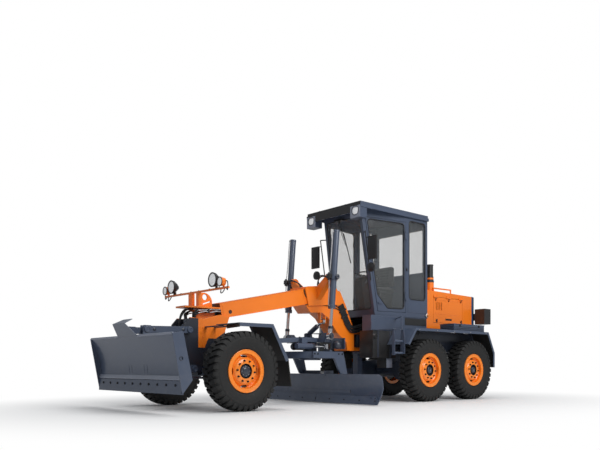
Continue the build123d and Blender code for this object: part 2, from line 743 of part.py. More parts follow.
# Fixed glass: windscreen, rear window and rear side windows.
glass_inset = 20.0
with BuildPart() as cab_glass:
    lean = [(windscreen_station(z) - glass_inset - back, z)
            for z, back in ((windscreen_low, 0), (windscreen_low, glass_thickness),
                            (header_low, glass_thickness), (header_low, 0))]
    prism(side(0), lean, cab_half_width, both=True)
    pane(front(cab_front_low - 100), windscreen_outline(fit), pane_corner - fit, 600, mode=Mode.INTERSECT)
    block((cab_rear + glass_inset, cab_rear + glass_inset + glass_thickness),
          (-rear_window_half_width + fit, rear_window_half_width - fit),
          (rear_window_low + fit, header_low - 50 - fit))
    for hand in (1, -1):
        pane(side(hand * (cab_half_width - glass_inset)),
             [(190 + fit, rear_side_low + fit), (652 - fit, rear_side_low + fit),
              (652 - fit, rear_side_high - fit), (190 + fit, rear_side_high - fit)],
             pane_corner - fit, hand * glass_thickness)
finish("cab_glass", cab_glass.part)

# Doors, hinged on the rear pillar, with their panes.
door_gap = 6.0
door_front_gap = 10.0
leaf_low, leaf_high = cab_sill_top + door_gap, header_low - door_gap
door_leaf = [(b_pillar_front + door_gap, leaf_low),
             (windscreen_station(leaf_low) - front_pillar - door_front_gap, leaf_low),
             (windscreen_station(leaf_high) - front_pillar - door_front_gap, leaf_high),
             (b_pillar_front + door_gap, leaf_high)]
window_low, window_high = cab_sill_top + 64, header_low - 34
door_window = [(781, window_low), (1158, window_low), (1379, window_low + 243),
               (windscreen_station(window_high) - 111, window_high), (781, window_high)]
door_pane = [(781 + fit, window_low + fit), (1158 - fit, window_low + fit),
             (1379 - 2 * fit, window_low + 243),
             (windscreen_station(window_high) - 111 - 2 * fit, window_high - fit), (781 + fit, window_high - fit)]
for name, hand in (("left", 1), ("right", -1)):
    with BuildPart() as door:
        prism(door_plane(hand), on_door(door_leaf), hand * cab_wall)
        pane(door_plane(hand), on_door(door_window), pane_corner, hand * (cab_wall + 10), mode=Mode.SUBTRACT)
        for height in hinge_heights:
            bar(point(b_pillar_front + 15, hand * (cab_half_width + hinge_out), height - 45),
                point(b_pillar_front + 15, hand * (cab_half_width + hinge_out), height + 45), 9)
            block((b_pillar_front + 10, b_pillar_front + 38),
                  (hand * (cab_half_width - 15), hand * (cab_half_width + hinge_out + 4)),
                  (height - 45, height + 45))
        # Outside handle below the window's slanted corner.
        prism(door_plane(hand), on_door([(1290, 1735), (1370, 1735), (1370, 1760), (1290, 1760)]), -hand * 22)
    finish(f"door_{name}", door.part)
    with BuildPart() as door_glass:
        pane(door_plane(hand).offset(hand * glass_inset), on_door(door_pane), pane_corner - fit,
             hand * glass_thickness)
    finish(f"door_glass_{name}", door_glass.part)

# Seat: one cushion and one backrest.
with BuildPart() as seat_pads:
    block((560, 1020), (-250, 250), (1990, 2100))
    prism(side(235), [(520, 2110), (700, 2110), (672, 2515), (540, 2515)], 470)
finish("seat_pads", seat_pads.part)

with BuildPart() as controls:
    # Seat pedestal with its backrest hinge.
    block((600, 940), (-190, 190), (floor_top, 1989.7))
    block((500, 600), (-120, 120), (1900, 1989.7))
    block((525, 555), (-120, 120), (1989, 2109.7))
    # Steering column with its instrument pod, leaning back to the wheel.
    prism(side(90), [(1080, floor_top), (1200, floor_top), (1224, 1695), (1295, 1970), (1318, 2198),
                     (1280, 2250), (1095, 2317.0), (990, 2284.0), (1060, 2140)], 180)
finish("controls", controls.part)

with BuildPart() as steering_wheel:
    hub_point = point(1040, 0, 2300)
    tilt = Plane(origin=hub_point, x_dir=(0, 1, 0), z_dir=(-0.3, 0, 0.954))
    with BuildSketch(tilt) as wheel_face:
        Circle(200)
        Circle(176, mode=Mode.SUBTRACT)
        Rectangle(370, 34)
        Circle(48)
    extrude(wheel_face.sketch, amount=24)
finish("steering_wheel", steering_wheel.part)

# Mirrors: a tube on the front pillar carries a tall mirror and a round one on each side.
mirror_tube = 575.0
mirror_stand_off = 55.0
with BuildPart() as mirrors:
    for hand in (1, -1):
        high, low = cab_eaves - 360, cab_floor_bottom + 610
        corner_high = point(windscreen_station(high) + mirror_stand_off, hand * mirror_tube, high)
        corner_low = point(windscreen_station(low) + mirror_stand_off, hand * mirror_tube, low)
        bar(corner_high, corner_low, 10)
        for corner in (corner_high, corner_low):
            root = windscreen_station(corner.Z) - 12
            bar(corner, point(root, hand * (cab_half(root) - 6), corner.Z), 10)
        for tall_z, reach in ((mirror_high - 12, mirror_y - 60), (round_mirror_z, round_mirror_y)):
            bar(point(windscreen_station(tall_z) + mirror_stand_off, hand * mirror_tube, tall_z),
                point(mirror_station, hand * reach, tall_z), 8)
        block((mirror_station - 16, mirror_station + 16), (hand * (mirror_y - 100), hand * (mirror_y + 100)),
              (mirror_high - 405, mirror_high))
        bar(point(mirror_station - 12, hand * round_mirror_y, round_mirror_z),
            point(mirror_station + 16, hand * round_mirror_y, round_mirror_z), 80)
    add(cab_frame.part, mode=Mode.SUBTRACT)
finish("mirrors", mirrors.part)

# Front frame: boom, neck, head and hinge lugs.
boom_outline = [(4465, 1578), (4416, 1350), (2749, 1663), (2628, 1531), (2365, 1546), (2227, 1463),
                (2006, 1208), (1783, 1050), (1760, front_lug_low), (1590, front_lug_low), (1600, 1274),
                (1800, 1701), (1943, 1940), (2395, 1974), (2714, 1940), (2822, 1913)]
with BuildPart() as front_frame:
    prism(side(0), boom_outline, boom_half_width, both=True)
    prism(side(0), [(4876, 1299), (4776, 844), (4420, 844), (4374, 1168), (4300, 1372), (4465, 1400)],
          head_half_width, both=True)
    prism(plan(head_plate_top - 25),
          [(4400, -boom_half_width), (4820, -boom_half_width), (5040, -135), (5040, 135),
           (4820, boom_half_width), (4400, boom_half_width)], 25)
    block((4480, 4800), (-60, 60), (1320, 1490))
    # Bracket of the dozer on the head's front.
    block((4772, 4830), (-dozer_link_y + 36, dozer_link_y - 36), (620, 1330))
    for hand in (1, -1):
        prism(side(hand * (dozer_link_y - 36)),
              [(4790, 560), (5080, 500), (5080, 1240), (4990, 1340), (4830, 1330), (4760, 850)], hand * 24)
    # Hanger and pin of the front axle.
    for station in (front_axle_station - 140, front_axle_station + 80):
        block((station, station + 60), (-110, 110), (beam_centre - 60, 900))
    bar(point(front_axle_station - 140, 0, beam_centre), point(front_axle_station + 140, 0, beam_centre),
        axle_pin_radius)
    # Pins of the dozer's arms, lugs and pin of its cylinder.
    for hand in (1, -1):
        for pin in (dozer_pin_rear, push_rear):
            cross_bar(pin[0], pin[1], link_pin, hand * (dozer_link_y - 40), hand * (dozer_link_y + 32))
        block((4800, dozer_cylinder_top[0] + 40), (hand * 34, hand * 50),
              (dozer_cylinder_top[1] - 45, dozer_cylinder_top[1] + 45))
    cross_bar(dozer_cylinder_top[0], dozer_cylinder_top[1], 22, -50, 50)
    # Lugs of the swing cylinder under the neck.
    lug_near = swing_eye_half + running_gap
    for near, far in ((-lug_near, -lug_near - 16), (lug_near + swing_drift, lug_near + swing_drift + 16)):
        block((swing_upper[0] + near, swing_upper[0] + far), (swing_upper[1] - 34, swing_upper[1] + 30),
              (swing_upper[2] - 34, 1545))
    bar(point(swing_upper[0] - lug_near - 16, swing_upper[1], swing_upper[2]),
        point(swing_upper[0] + lug_near + swing_drift + 16, swing_upper[1], swing_upper[2]), swing_pin)
    # Hinge lugs.
    for bottom in (front_lug_low, front_lug_high - front_lug_thickness):
        with BuildSketch(plan(bottom)) as lug:
            with BuildLine():
                Polyline((1640, -boom_half_width + 5), (1640, boom_half_width - 5), (pivot_station, lug_radius),
                         (pivot_station, -lug_radius), close=True)
            make_face()
            with Locations((pivot_station, 0)):
                Circle(lug_radius)
                Circle(pivot_radius + fit, mode=Mode.SUBTRACT)
        extrude(lug.sketch, amount=front_lug_thickness)
    # Ball seat of the drawbar, turned about the tongue's line.
    seat_radius = ball_radius + fit
    seat_rim = (seat_radius * seat_radius - seat_mouth * seat_mouth) ** 0.5
    seat_bend = seat_radius * 0.5 ** 0.5
    with BuildSketch(side(0)) as seat:
        with BuildLine():
            Polyline((ball_station + seat_mouth, ball_height + seat_rim),
                     (ball_station + seat_mouth, ball_height + seat_outer), (4440, ball_height + seat_outer),
                     (4440, ball_height), (ball_station + seat_radius, ball_height))
            ThreePointArc((ball_station + seat_radius, ball_height),
                          (ball_station + seat_bend, ball_height + seat_bend),
                          (ball_station + seat_mouth, ball_height + seat_rim))
        make_face()
    revolve(seat.sketch, Axis(point(ball_station, 0, ball_height), (1, 0, 0)))
finish("front_frame", front_frame.part)

# Saddle on the boom with the two trunnion arms.
boom_top = [(2040, 1947.3), (2395, 1974), (2714, 1940), (2770, 1926)]
with BuildPart() as saddle:
    cap = [(station, z + fit) for station, z in boom_top] + [(station, z + 26) for station, z in boom_top[::-1]]
    prism(side(0), cap, boom_half_width + 30, both=True)
    for hand in (1, -1):
        prism(side(hand * (boom_half_width + fit)),
              [(1990, 1700), (2700, 1640), (2775, 1930), (2395, 1980), (2040, 1960)], -hand * (30 - fit))
        prism(front(lift_trunnion[0] + 55),
              [(hand * 200, 1760), (hand * 200, 1975), (hand * (lift_y - 90), 2170), (hand * (lift_y - 90), 2040)],
              -110)
        cross_bar(lift_trunnion[0], lift_trunnion[1], 55, hand * (lift_y - 130), hand * (lift_y - 90))
finish("saddle", saddle.part)

# Light bar with its posts and the half-round tow plate.
with BuildPart() as light_bar:
    block((4775, 4805), (-light_bar_half_length, light_bar_half_length), light_bar_z)
    for post in ((-148, -52), (69, 140)):
        block((4765, 4815), post, (head_plate_top, light_bar_z[0]))
    with BuildSketch(side(tow_plate_thickness / 2)) as plate:
        with BuildLine():
            Polyline((4714, 1715), (4755, 1640), (4755, head_plate_top), (4497, head_plate_top), (4497, 1575))
            ThreePointArc((4497, 1575), (4552, 1704), (4714, 1715))
        make_face()
        with Locations(tow_hole):
            Circle(tow_hole_radius, mode=Mode.SUBTRACT)
    extrude(plate.sketch, amount=tow_plate_thickness)
    prism(side(0), [(4660, 1552), (4660, 1572), (4524, 1618), (4524, 1598)], tow_plate_thickness, both=True,
          mode=Mode.SUBTRACT)
finish("light_bar", light_bar.part)

# Bowl of a lamp with the recess of its lens. Columns: distance ahead, radius.
lamp_bowl = [(-45, 0), (-45, 62), (10, 100), (45, 105), (45, 95), (34, 91), (34, 0)]
small_bowl = [(-42, 0), (-42, 54), (30, 67), (38, 67), (38, 58), (28, 56), (28, 0)]
with BuildPart() as head_lamps:
    for hand in (1, -1):
        turned_ahead(point(4820, hand * 581, 1855), lamp_bowl)
        block((4782, 4802), (hand * 561, hand * 601), (light_bar_z[1] + fit, 1780))
finish("head_lamps", head_lamps.part)

with BuildPart() as front_markers:
    for hand in (1, -1):
        turned_ahead(point(4830, hand * 771, 1812), small_bowl)
        block((4790, 4804), (hand * 756, hand * 786), (light_bar_z[1] + fit, 1775))
finish("front_markers", front_markers.part)

# Front axle: a beam that rocks on the head's hanger, with a fork for each kingpin.
with BuildPart() as front_axle:
    prism(front(front_axle_station + 75),
          [(-beam_half_length, beam_centre - 50), (-420, beam_centre - 80), (420, beam_centre - 80),
           (beam_half_length, beam_centre - 50), (beam_half_length, beam_centre + 50),
           (420, beam_centre + 75), (-420, beam_centre + 75), (-beam_half_length, beam_centre + 50)],
          -beam_depth)
    bar(point(front_axle_station - 80, 0, beam_centre), point(front_axle_station + 80, 0, beam_centre),
        axle_pin_radius + fit, mode=Mode.SUBTRACT)
    for hand in (1, -1):
        for bottom in (beam_centre - 110, beam_centre + 70):
            block((front_axle_station - 50, front_axle_station + 50),
                  (hand * (beam_half_length - 60), hand * (kingpin_y + 45)), (bottom, bottom + 40))
        block((front_axle_station - 50, front_axle_station + 50),
              (hand * (beam_half_length - 60), hand * (beam_half_length - 20)),
              (beam_centre - 110, beam_centre + 110))
        bar(point(front_axle_station, hand * kingpin_y, beam_centre - 110),
            point(front_axle_station, hand * kingpin_y, beam_centre + 110), kingpin_radius)
finish("front_axle", front_axle.part)

for name, hand in (("left", 1), ("right", -1)):
    with BuildPart() as knuckle:
        block((front_axle_station - 48, front_axle_station + 48),
              (hand * (kingpin_y - 46), hand * (kingpin_y + 60)), (beam_centre - 69.5, beam_centre + 69.5))
        bar(point(front_axle_station, hand * kingpin_y, beam_centre - 80),
            point(front_axle_station, hand * kingpin_y, beam_centre + 80), kingpin_radius + fit,
            mode=Mode.SUBTRACT)
        cross_bar(front_axle_station, beam_centre, stub_radius, hand * (kingpin_y + 60),
                  hand * (wheel_y + stub_end - running_gap))
        # Steering arm.
        block((front_axle_station - 290, front_axle_station - 48),
              (hand * (kingpin_y - 46), hand * (kingpin_y - 6)), (beam_centre - 69.5, beam_centre - 40))
    finish(f"knuckle_{name}", knuckle.part)

with BuildPart() as tie_rod:
    tie_station = front_axle_station + tie_rod_station_offset
    tie_z = beam_centre - 114
    cross_bar(tie_station, tie_z, 18, -kingpin_y + 26, kingpin_y - 26)
    for hand in (1, -1):
        bar(point(tie_station, hand * (kingpin_y - 26), tie_z - 26),
            point(tie_station, hand * (kingpin_y - 26), beam_centre - 70), 24)
finish("tie_rod", tie_rod.part)

# Front fenders with their rubber flaps.
with BuildPart() as front_fenders:
    for hand in (1, -1):
        line = [(4814, 1222), (4224, 1222), (3939, 712)]
        under = [(3948, 708), (4229, 1214), (4814, 1214)]
        prism(side(hand * 1175), line + under, hand * 575)
        lip = [(3990, 690), (4250, 1172), (4814, 1172)]
        prism(side(hand * 1175), line + lip, hand * 8)
        prism(side(hand * 1165), [(3939, 712), (3948, 708), (3892, 334), (3883, 334)], hand * 400)
        for station in (4540, 4700):
            block((station, station + 40), (hand * head_half_width, hand * 640), (1196, 1214))
finish("front_fenders", front_fenders.part)

# Drawbar: ball, tongue, cross beam with the lift brackets and the plate that carries the circle.
with BuildPart() as drawbar:
    tongue_end = ball_station - 30
    prism(side(0), [(plate_front - 20, drawbar_bottom), (plate_front - 20, drawbar_top),
                    (tongue_end, ball_height + 45), (tongue_end, ball_height - 45)], plate_half_width, both=True)
    prism(plan(ball_height / 2), [(plate_front - 20, -plate_half_width), (plate_front - 20, plate_half_width),
                                  (tongue_end, 50), (tongue_end, -50)], ball_height, mode=Mode.INTERSECT)
    prism(plan(ball_height / 2), [(plate_front + 40, -220), (plate_front + 40, 220), (ball_station - 600, 40),
                                  (ball_station - 600, -40)], ball_height, mode=Mode.SUBTRACT)
    with Locations(point(ball_station, 0, ball_height)):
        Sphere(ball_radius)
    block((2200, plate_front), (-plate_half_width, plate_half_width), (drawbar_bottom, drawbar_top))
    block((lift_eye[0] - 70, lift_eye[0] + 70), (-lift_y + 110, lift_y - 110), (drawbar_bottom, drawbar_top))
    for hand in (1, -1):
        prism(front(lift_eye[0] - 50),
              [(hand * 330, drawbar_bottom), (hand * (lift_y - 60), drawbar_bottom),
               (hand * (lift_y - 60), 1180), (hand * 420, 1180), (hand * 330, drawbar_top)], 100)
        cross_bar(lift_eye[0], lift_eye[1], 26, hand * (lift_y - 60), hand * (lift_y + 45))
    # Guide blocks that hold the circle.
    bar(point(circle_station, 0, circle_bottom), point(circle_station, 0, drawbar_bottom), 120)
    bar(point(circle_station, 0, circle_bottom - 30), point(circle_station, 0, circle_bottom - 6), 190)
    bar(point(circle_station, 0, circle_bottom - 10), point(circle_station, 0, circle_bottom), 120)
    # Barrel of the turning cylinder on the left, under the plate.
    bar(point(turn_mouth, turn_y, turn_z), point(turn_mouth + turn_barrel_length, turn_y, turn_z), 46)
    block((2900, 3020), (320, turn_y), (turn_z, drawbar_top))
    bar(point(turn_mouth - 1, turn_y, turn_z), point(turn_mouth + turn_barrel_length - 15, turn_y, turn_z),
        turn_rod_radius + fit, mode=Mode.SUBTRACT)
    # Lugs of the swing cylinder on the right.
    for end in (-1, 1):
        near, far = swing_lower[0] + end * 32, swing_lower[0] + end * 48
        block((near, far), (swing_lower[1] - 30, swing_lower[1] + 30), (drawbar_top - 1, swing_lower[2] + 30))
    bar(point(swing_lower[0] - 48, swing_lower[1], swing_lower[2]),
        point(swing_lower[0] + 48, swing_lower[1], swing_lower[2]), swing_pin)
finish("drawbar", drawbar.part)

# Circle: a ring with spokes to its hub and two arms that carry the moldboard.
with BuildPart() as circle:
    tube(point(circle_station, 0, circle_bottom), point(circle_station, 0, circle_top), circle_radius,
         circle_radius - circle_width)
    tube(point(circle_station, 0, circle_bottom), point(circle_station, 0, circle_top), 170, 120 + fit)
    for hand in (1, -1):
        block((circle_station - circle_radius + 60, circle_station - 160), (hand * 40, hand * 90),
              (circle_bottom, circle_top - 20))
        block((circle_station + 160, circle_station + circle_radius - 60), (hand * 40, hand * 90),
              (circle_bottom, circle_top - 20))
        block((circle_station - 50, circle_station + 50), (hand * 150, hand * (circle_radius - 60)),
              (circle_bottom, circle_top - 20))
        arm = [(2900, circle_bottom), (2900, circle_top), (2225, circle_top), (2128, 505), (2128, 180),
               (shoe_face, 180), (shoe_face, 480), (2290, 505), (2430, circle_bottom)]
        prism(side(hand * (arm_y + arm_thickness / 2)), arm, hand * arm_thickness)
        for rail_z in blade_rails:
            for end in (-1, 1):
                near, far = rail_z + end * (rail_half + 0.5), rail_z + end * (rail_half + 30)
                block((shoe_face - 5, shoe_face + 36), (hand * (arm_y - 60), hand * (arm_y + 60)), (near, far))
    # Crank pin of the turning cylinder.
    block((2440, 2500), (330, 500), (circle_top - 5, circle_top + 30))
    bar(point(2470, turn_y, circle_top + 30), point(2470, turn_y, turn_z - 40 - fit), 30)
    # Barrel of the side-shift cylinder between the arms.
    cross_bar(shift_station, shift_z, 34, -arm_y, -60)
    cross_bar(shift_station, shift_z, 18 + fit, -arm_y + 20, -59, mode=Mode.SUBTRACT)
finish("circle", circle.part)

with BuildPart() as turn_rod:
    bar(point(turn_mouth + 185, turn_y, turn_z), point(2512, turn_y, turn_z), turn_rod_radius)
    bar(point(2470, turn_y, turn_z - 40), point(2470, turn_y, turn_z + 40), 46)
finish("turn_rod", turn_rod.part)

# Moldboard: a curved plate with its cutting edge and the rails it slides on.
with BuildPart() as moldboard:
    radius = 560.0
    half_height = blade_height / 2
    middle_z = blade_clear + half_height
    sag = radius - (radius * radius - half_height * half_height) ** 0.5
    outer_sag = (radius + blade_plate) - ((radius + blade_plate) ** 2 - half_height * half_height) ** 0.5
    with BuildSketch(side(0)) as section:
        with BuildLine():
            low = (blade_station, blade_clear)
            high = (blade_station, blade_clear + blade_height)
            back_low = (blade_station - blade_plate, blade_clear)
            back_high = (blade_station - blade_plate, blade_clear + blade_height)
            ThreePointArc(low, (blade_station - sag, middle_z), high)
            Line(high, back_high)
            ThreePointArc(back_high, (blade_station - blade_plate - outer_sag, middle_z), back_low)
            Line(back_low, low)
        make_face()
    extrude(section.sketch, amount=blade_length / 2, both=True)
    for rail_z in blade_rails:
        block((shoe_face + fit, blade_station - 50), (-rail_half_length, rail_half_length),
              (rail_z - rail_half, rail_z + rail_half))
    # Rod of the side-shift cylinder and its bracket.
    cross_bar(shift_station, shift_z, 18, -290, 216)
    block((shift_station - 30, blade_station - 2), (215, 245), (shift_z - 60, shift_z + 30))
    # Cutting edge on the lower front, then the slanted and cropped ends.
    prism(side(0), [(blade_station - 10, blade_clear), (blade_station + 16, blade_clear),
                    (blade_station - 29, edge_top), (blade_station - 54, edge_top)],
          blade_length / 2 - 90, both=True)
    for hand in (1, -1):
        half = blade_length / 2
        prism(front(blade_station - 200),
              [(hand * (half - 78), blade_clear - 5), (hand * (half + 20), blade_clear - 5),
               (hand * (half + 20), 270), (hand * half, 270)], 400, mode=Mode.SUBTRACT)
        prism(front(blade_station - 200),
              [(hand * (half - 59), 500), (hand * (half + 20), 500), (hand * (half + 20), 461),
               (hand * (half - 3), 461), (hand * (half - 20), 482)], 400, mode=Mode.SUBTRACT)
finish("moldboard", moldboard.part)

# Lift cylinders: both barrels turn together in the saddle's trunnions, both rods slide together.
lift_top = Vector(tandem_x + lift_trunnion[0], 0, lift_trunnion[1])
lift_low = Vector(tandem_x + lift_eye[0], 0, lift_eye[1])
lift_line = (lift_low - lift_top).normalized()
with BuildPart() as lift_barrels:
    for hand in (1, -1):
        shift = Vector(0, hand * lift_y, 0)
        top = lift_top - lift_line * lift_barrel_above + shift
        low = lift_top + lift_line * lift_barrel_below + shift
        bar(top, low, lift_barrel_radius)
        bar(lift_top - lift_line * 45 + shift, lift_top + lift_line * 45 + shift, lift_barrel_radius + 16)
        cross_bar(lift_trunnion[0], lift_trunnion[1], 30, hand * (lift_y - 90 + fit), hand * (lift_y - 40))
        cross_bar(lift_trunnion[0], lift_trunnion[1], 30, hand * (lift_y + 40), hand * (lift_y + 95))
        bar(low - lift_line * lift_bore_length, low + lift_line, lift_rod_radius + fit, mode=Mode.SUBTRACT)
finish("lift_barrels", lift_barrels.part)

with BuildPart() as lift_rods:
    for hand in (1, -1):
        shift = Vector(0, hand * lift_y, 0)
        inside = lift_top + lift_line * (lift_barrel_below - lift_rod_engaged) + shift
        bar(inside, lift_low - lift_line * 40 + shift, lift_rod_radius)
        bar(lift_low - lift_line * 150 + shift, lift_low - lift_line * 40 + shift, 36)
        cross_bar(lift_eye[0], lift_eye[1], 58, hand * (lift_y - 34), hand * (lift_y + 34))
        cross_bar(lift_eye[0], lift_eye[1], 26 + open_eye_play, hand * (lift_y - 40), hand * (lift_y + 40),
                  mode=Mode.SUBTRACT)
finish("lift_rods", lift_rods.part)

# Swing cylinder between the drawbar's right side and the lugs under the neck.
swing_low = point(*swing_lower)
swing_top = point(swing_lower[0], swing_upper[1], swing_upper[2])
swing_line = (swing_top - swing_low).normalized()
with BuildPart() as swing_barrel:
    bar(swing_low + swing_line * 30, swing_low + swing_line * 70, 26)
    bar(swing_low + swing_line * 66, swing_low + swing_line * 300, 42)
    bar(swing_low + swing_line * 90, swing_low + swing_line * 301, turn_rod_radius + fit, mode=Mode.SUBTRACT)
    bar(swing_low - Vector(28, 0, 0), swing_low + Vector(28, 0, 0), 42)
    bar(swing_low - Vector(30, 0, 0), swing_low + Vector(30, 0, 0), swing_pin + fit, mode=Mode.SUBTRACT)
finish("swing_barrel", swing_barrel.part)

with BuildPart() as swing_rod:
    bar(swing_low + swing_line * 170, swing_top - swing_line * 36, turn_rod_radius)
    bar(swing_top - Vector(swing_eye_half, 0, 0), swing_top + Vector(swing_eye_half, 0, 0), 46)
    bar(swing_top - Vector(30, 0, 0), swing_top + Vector(30, 0, 0), swing_pin + swing_play, mode=Mode.SUBTRACT)
finish("swing_rod", swing_rod.part)

# Dozer blade on a parallel linkage: push arms below, upper links above, one lift cylinder.
blade_ear = [(5712, 420), (5590, 500), (5590, 650), (5665, 1190), (5770, 1190), (5800, 960), (5734, 745)]
with BuildPart() as dozer_blade:
    with BuildSketch(side(0)) as section:
        with BuildLine():
            Line((5737, 263), (5722, 420))
            ThreePointArc((5722, 420), (5745, 740), (5880, 1041))
            Line((5880, 1041), (5862, 1046))
            ThreePointArc((5862, 1046), (5745 - dozer_plate, 745), (5722 - dozer_plate, 420))
            Line((5722 - dozer_plate, 420), (5737 - dozer_plate - 4, 263))
            Line((5737 - dozer_plate - 4, 263), (5737, 263))
        make_face()
    extrude(section.sketch, amount=dozer_half_width - 10, both=True)
    for hand in (1, -1):
        prism(side(hand * dozer_half_width),
              [(5885, 1041), (5726, 1068), (5588, 448), (5701, 308), (5737, 266)], hand * 12)
        prism(side(hand * (dozer_link_y + 54)),
              blade_ear, hand * 24)
        prism(side(hand * (dozer_link_y - 30)), blade_ear, hand * 24)
        for pin in (dozer_pin_front, push_front):
            cross_bar(pin[0], pin[1], link_pin, hand * (dozer_link_y - 54), hand * (dozer_link_y + 56))
        cross_bar(5755, 722, 22.5, hand * (dozer_half_width - 10), hand * (dozer_half_width + 10),
                  mode=Mode.SUBTRACT)
    # Guard on the blade's top edge, folded back along its own top, narrowing upwards.
    prism(side(0), [(5880, 1036), (6016, 1210), (5873, 1279), (5869, 1271), (6003, 1207), (5866, 1036)],
          guard_half_width, both=True)
    for hand in (1, -1):
        prism(front(5840), [(hand * (guard_half_width - 4), 1050), (hand * 184, 1210), (hand * 134, 1279),
                            (hand * 134, 1300), (hand * 400, 1300), (hand * 400, 1050)], 200,
              mode=Mode.SUBTRACT)
    # Cutting edge along the foot.
    prism(side(0), [(5733, 263), (5751, 263), (5736, 438), (5716, 438)], dozer_half_width - 12, both=True)
finish("dozer_blade", dozer_blade.part)


def link_pair(rear, ahead, half_height):
    """Adds the left and right arms of one level of the dozer's linkage, bored for their pins."""
    for hand in (1, -1):
        start, end = point(rear[0], 0, rear[1]), point(ahead[0], 0, ahead[1])
        low = hand * (dozer_link_y - 28)
        high = hand * (dozer_link_y + 28)
        prism(side(high), [(rear[0], rear[1] - half_height), (ahead[0], ahead[1] - half_height),
                           (ahead[0], ahead[1] + half_height), (rear[0], rear[1] + half_height)],
              hand * abs(high - low))
        for pin in (rear, ahead):
            cross_bar(pin[0], pin[1], half_height, low, high)
            cross_bar(pin[0], pin[1], link_pin + fit, hand * (dozer_link_y - 40), hand * (dozer_link_y + 40),
                      mode=Mode.SUBTRACT)


with BuildPart() as upper_links:
    link_pair(dozer_pin_rear, dozer_pin_front, 48)
finish("upper_links", upper_links.part)

with BuildPart() as push_arms:
    link_pair(push_rear, push_front, 55)
    block((5300, 5380), (-dozer_link_y + 28, dozer_link_y - 28), (push_rear[1] - 50, push_rear[1] + 30))
    low_x, low_z = dozer_cylinder_low
    for hand in (1, -1):
        prism(side(hand * 50), [(5300, push_rear[1]), (5380, push_rear[1]), (low_x + 36, low_z + 36),
                                (low_x - 36, low_z + 36)], hand * 16)
    cross_bar(low_x, low_z, 18, -50, 50)
finish("push_arms", push_arms.part)


# Lift cylinder of the dozer, between the head and the cross member of the push arms.
dozer_top = point(dozer_cylinder_top[0], 0, dozer_cylinder_top[1])
dozer_low = point(dozer_cylinder_low[0], 0, dozer_cylinder_low[1])
dozer_line = (dozer_low - dozer_top).normalized()
with BuildPart() as dozer_barrel:
    bar(dozer_top + dozer_line * 30, dozer_top + dozer_line * 80, 28)
    bar(dozer_top + dozer_line * 76, dozer_top + dozer_line * 440, 42)
    bar(dozer_top + dozer_line * 120, dozer_top + dozer_line * 441, 21 + fit, mode=Mode.SUBTRACT)
    bar(dozer_top - Vector(0, 30, 0), dozer_top + Vector(0, 30, 0), 44)
    bar(dozer_top - Vector(0, 32, 0), dozer_top + Vector(0, 32, 0), 22 + fit, mode=Mode.SUBTRACT)
finish("dozer_barrel", dozer_barrel.part)

with BuildPart() as dozer_rod:
    bar(dozer_top + dozer_line * 240, dozer_low - dozer_line * 36, 21)
    bar(dozer_low - Vector(0, 30, 0), dozer_low + Vector(0, 30, 0), 44)
    bar(dozer_low - Vector(0, 32, 0), dozer_low + Vector(0, 32, 0), 18 + 12, mode=Mode.SUBTRACT)
finish("dozer_rod", dozer_rod.part)
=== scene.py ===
"""Looks of the motor grader: paint, rubber, glass, tread, lamps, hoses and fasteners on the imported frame.

Lengths are in metres. X points forward, Y to the machine's left and Z up, as in the frame. Stations are
measured forward from the middle of the tandem.
"""

import json
import logging
import math
from collections.abc import Iterable, Sequence
from dataclasses import dataclass, field
from enum import Enum

import bmesh
import bpy
from mathutils import Matrix, Vector


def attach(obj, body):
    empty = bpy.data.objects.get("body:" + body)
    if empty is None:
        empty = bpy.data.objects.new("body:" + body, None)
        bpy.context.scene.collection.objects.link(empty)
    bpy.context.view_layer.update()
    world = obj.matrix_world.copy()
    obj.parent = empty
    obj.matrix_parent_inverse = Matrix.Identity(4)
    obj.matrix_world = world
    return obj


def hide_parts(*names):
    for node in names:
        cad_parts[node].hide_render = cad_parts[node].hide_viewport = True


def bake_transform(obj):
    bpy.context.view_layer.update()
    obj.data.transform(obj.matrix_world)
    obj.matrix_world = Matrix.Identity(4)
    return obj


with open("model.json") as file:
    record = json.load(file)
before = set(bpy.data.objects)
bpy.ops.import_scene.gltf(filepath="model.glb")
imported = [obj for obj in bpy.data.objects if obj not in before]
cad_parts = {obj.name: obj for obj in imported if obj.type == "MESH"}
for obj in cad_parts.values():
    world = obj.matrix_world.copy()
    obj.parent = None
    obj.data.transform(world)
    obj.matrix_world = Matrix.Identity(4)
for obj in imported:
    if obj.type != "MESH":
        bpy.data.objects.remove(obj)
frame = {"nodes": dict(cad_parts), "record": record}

LOG = logging.getLogger("grader")

TANDEM_X = -2.15
FRONT_AXLE = 4.67
TANDEM_HALF_BASE = 0.656
WHEEL_Y = 1.018
TYRE_RADIUS = 0.557
PHOTO_SIZE = (600, 450)

Point = tuple[float, float, float]
Pair = tuple[float, float]
Outline = Sequence[Pair]
Colour = tuple[float, float, float, float]
Item = bpy.types.Object
Socket = bpy.types.NodeSocket
UP = Vector((0, 0, 1))
AHEAD = Vector((1, 0, 0))
HANDS = {1: "left", -1: "right"}


def at(station: float, y: float, z: float) -> Vector:
    """Gives the frame's point at a station, a distance from the middle and a height."""
    return Vector((TANDEM_X + station, y, z))


def side(hand: int) -> Vector:
    """Gives the direction out to the left for 1, or to the right for -1."""
    return Vector((0, hand, 0))


def paired(places: Iterable[Point]) -> list[Vector]:
    """Gives each place of station, distance and height on the left, then each on the right."""
    return [at(station, hand * y, z) for hand in HANDS for station, y, z in places]


def mirrored(paths: Iterable[Sequence[Point]]) -> list[list[Vector]]:
    """Gives each path on the left, then each on the right."""
    return [[at(station, hand * y, z) for station, y, z in path] for hand in HANDS for path in paths]


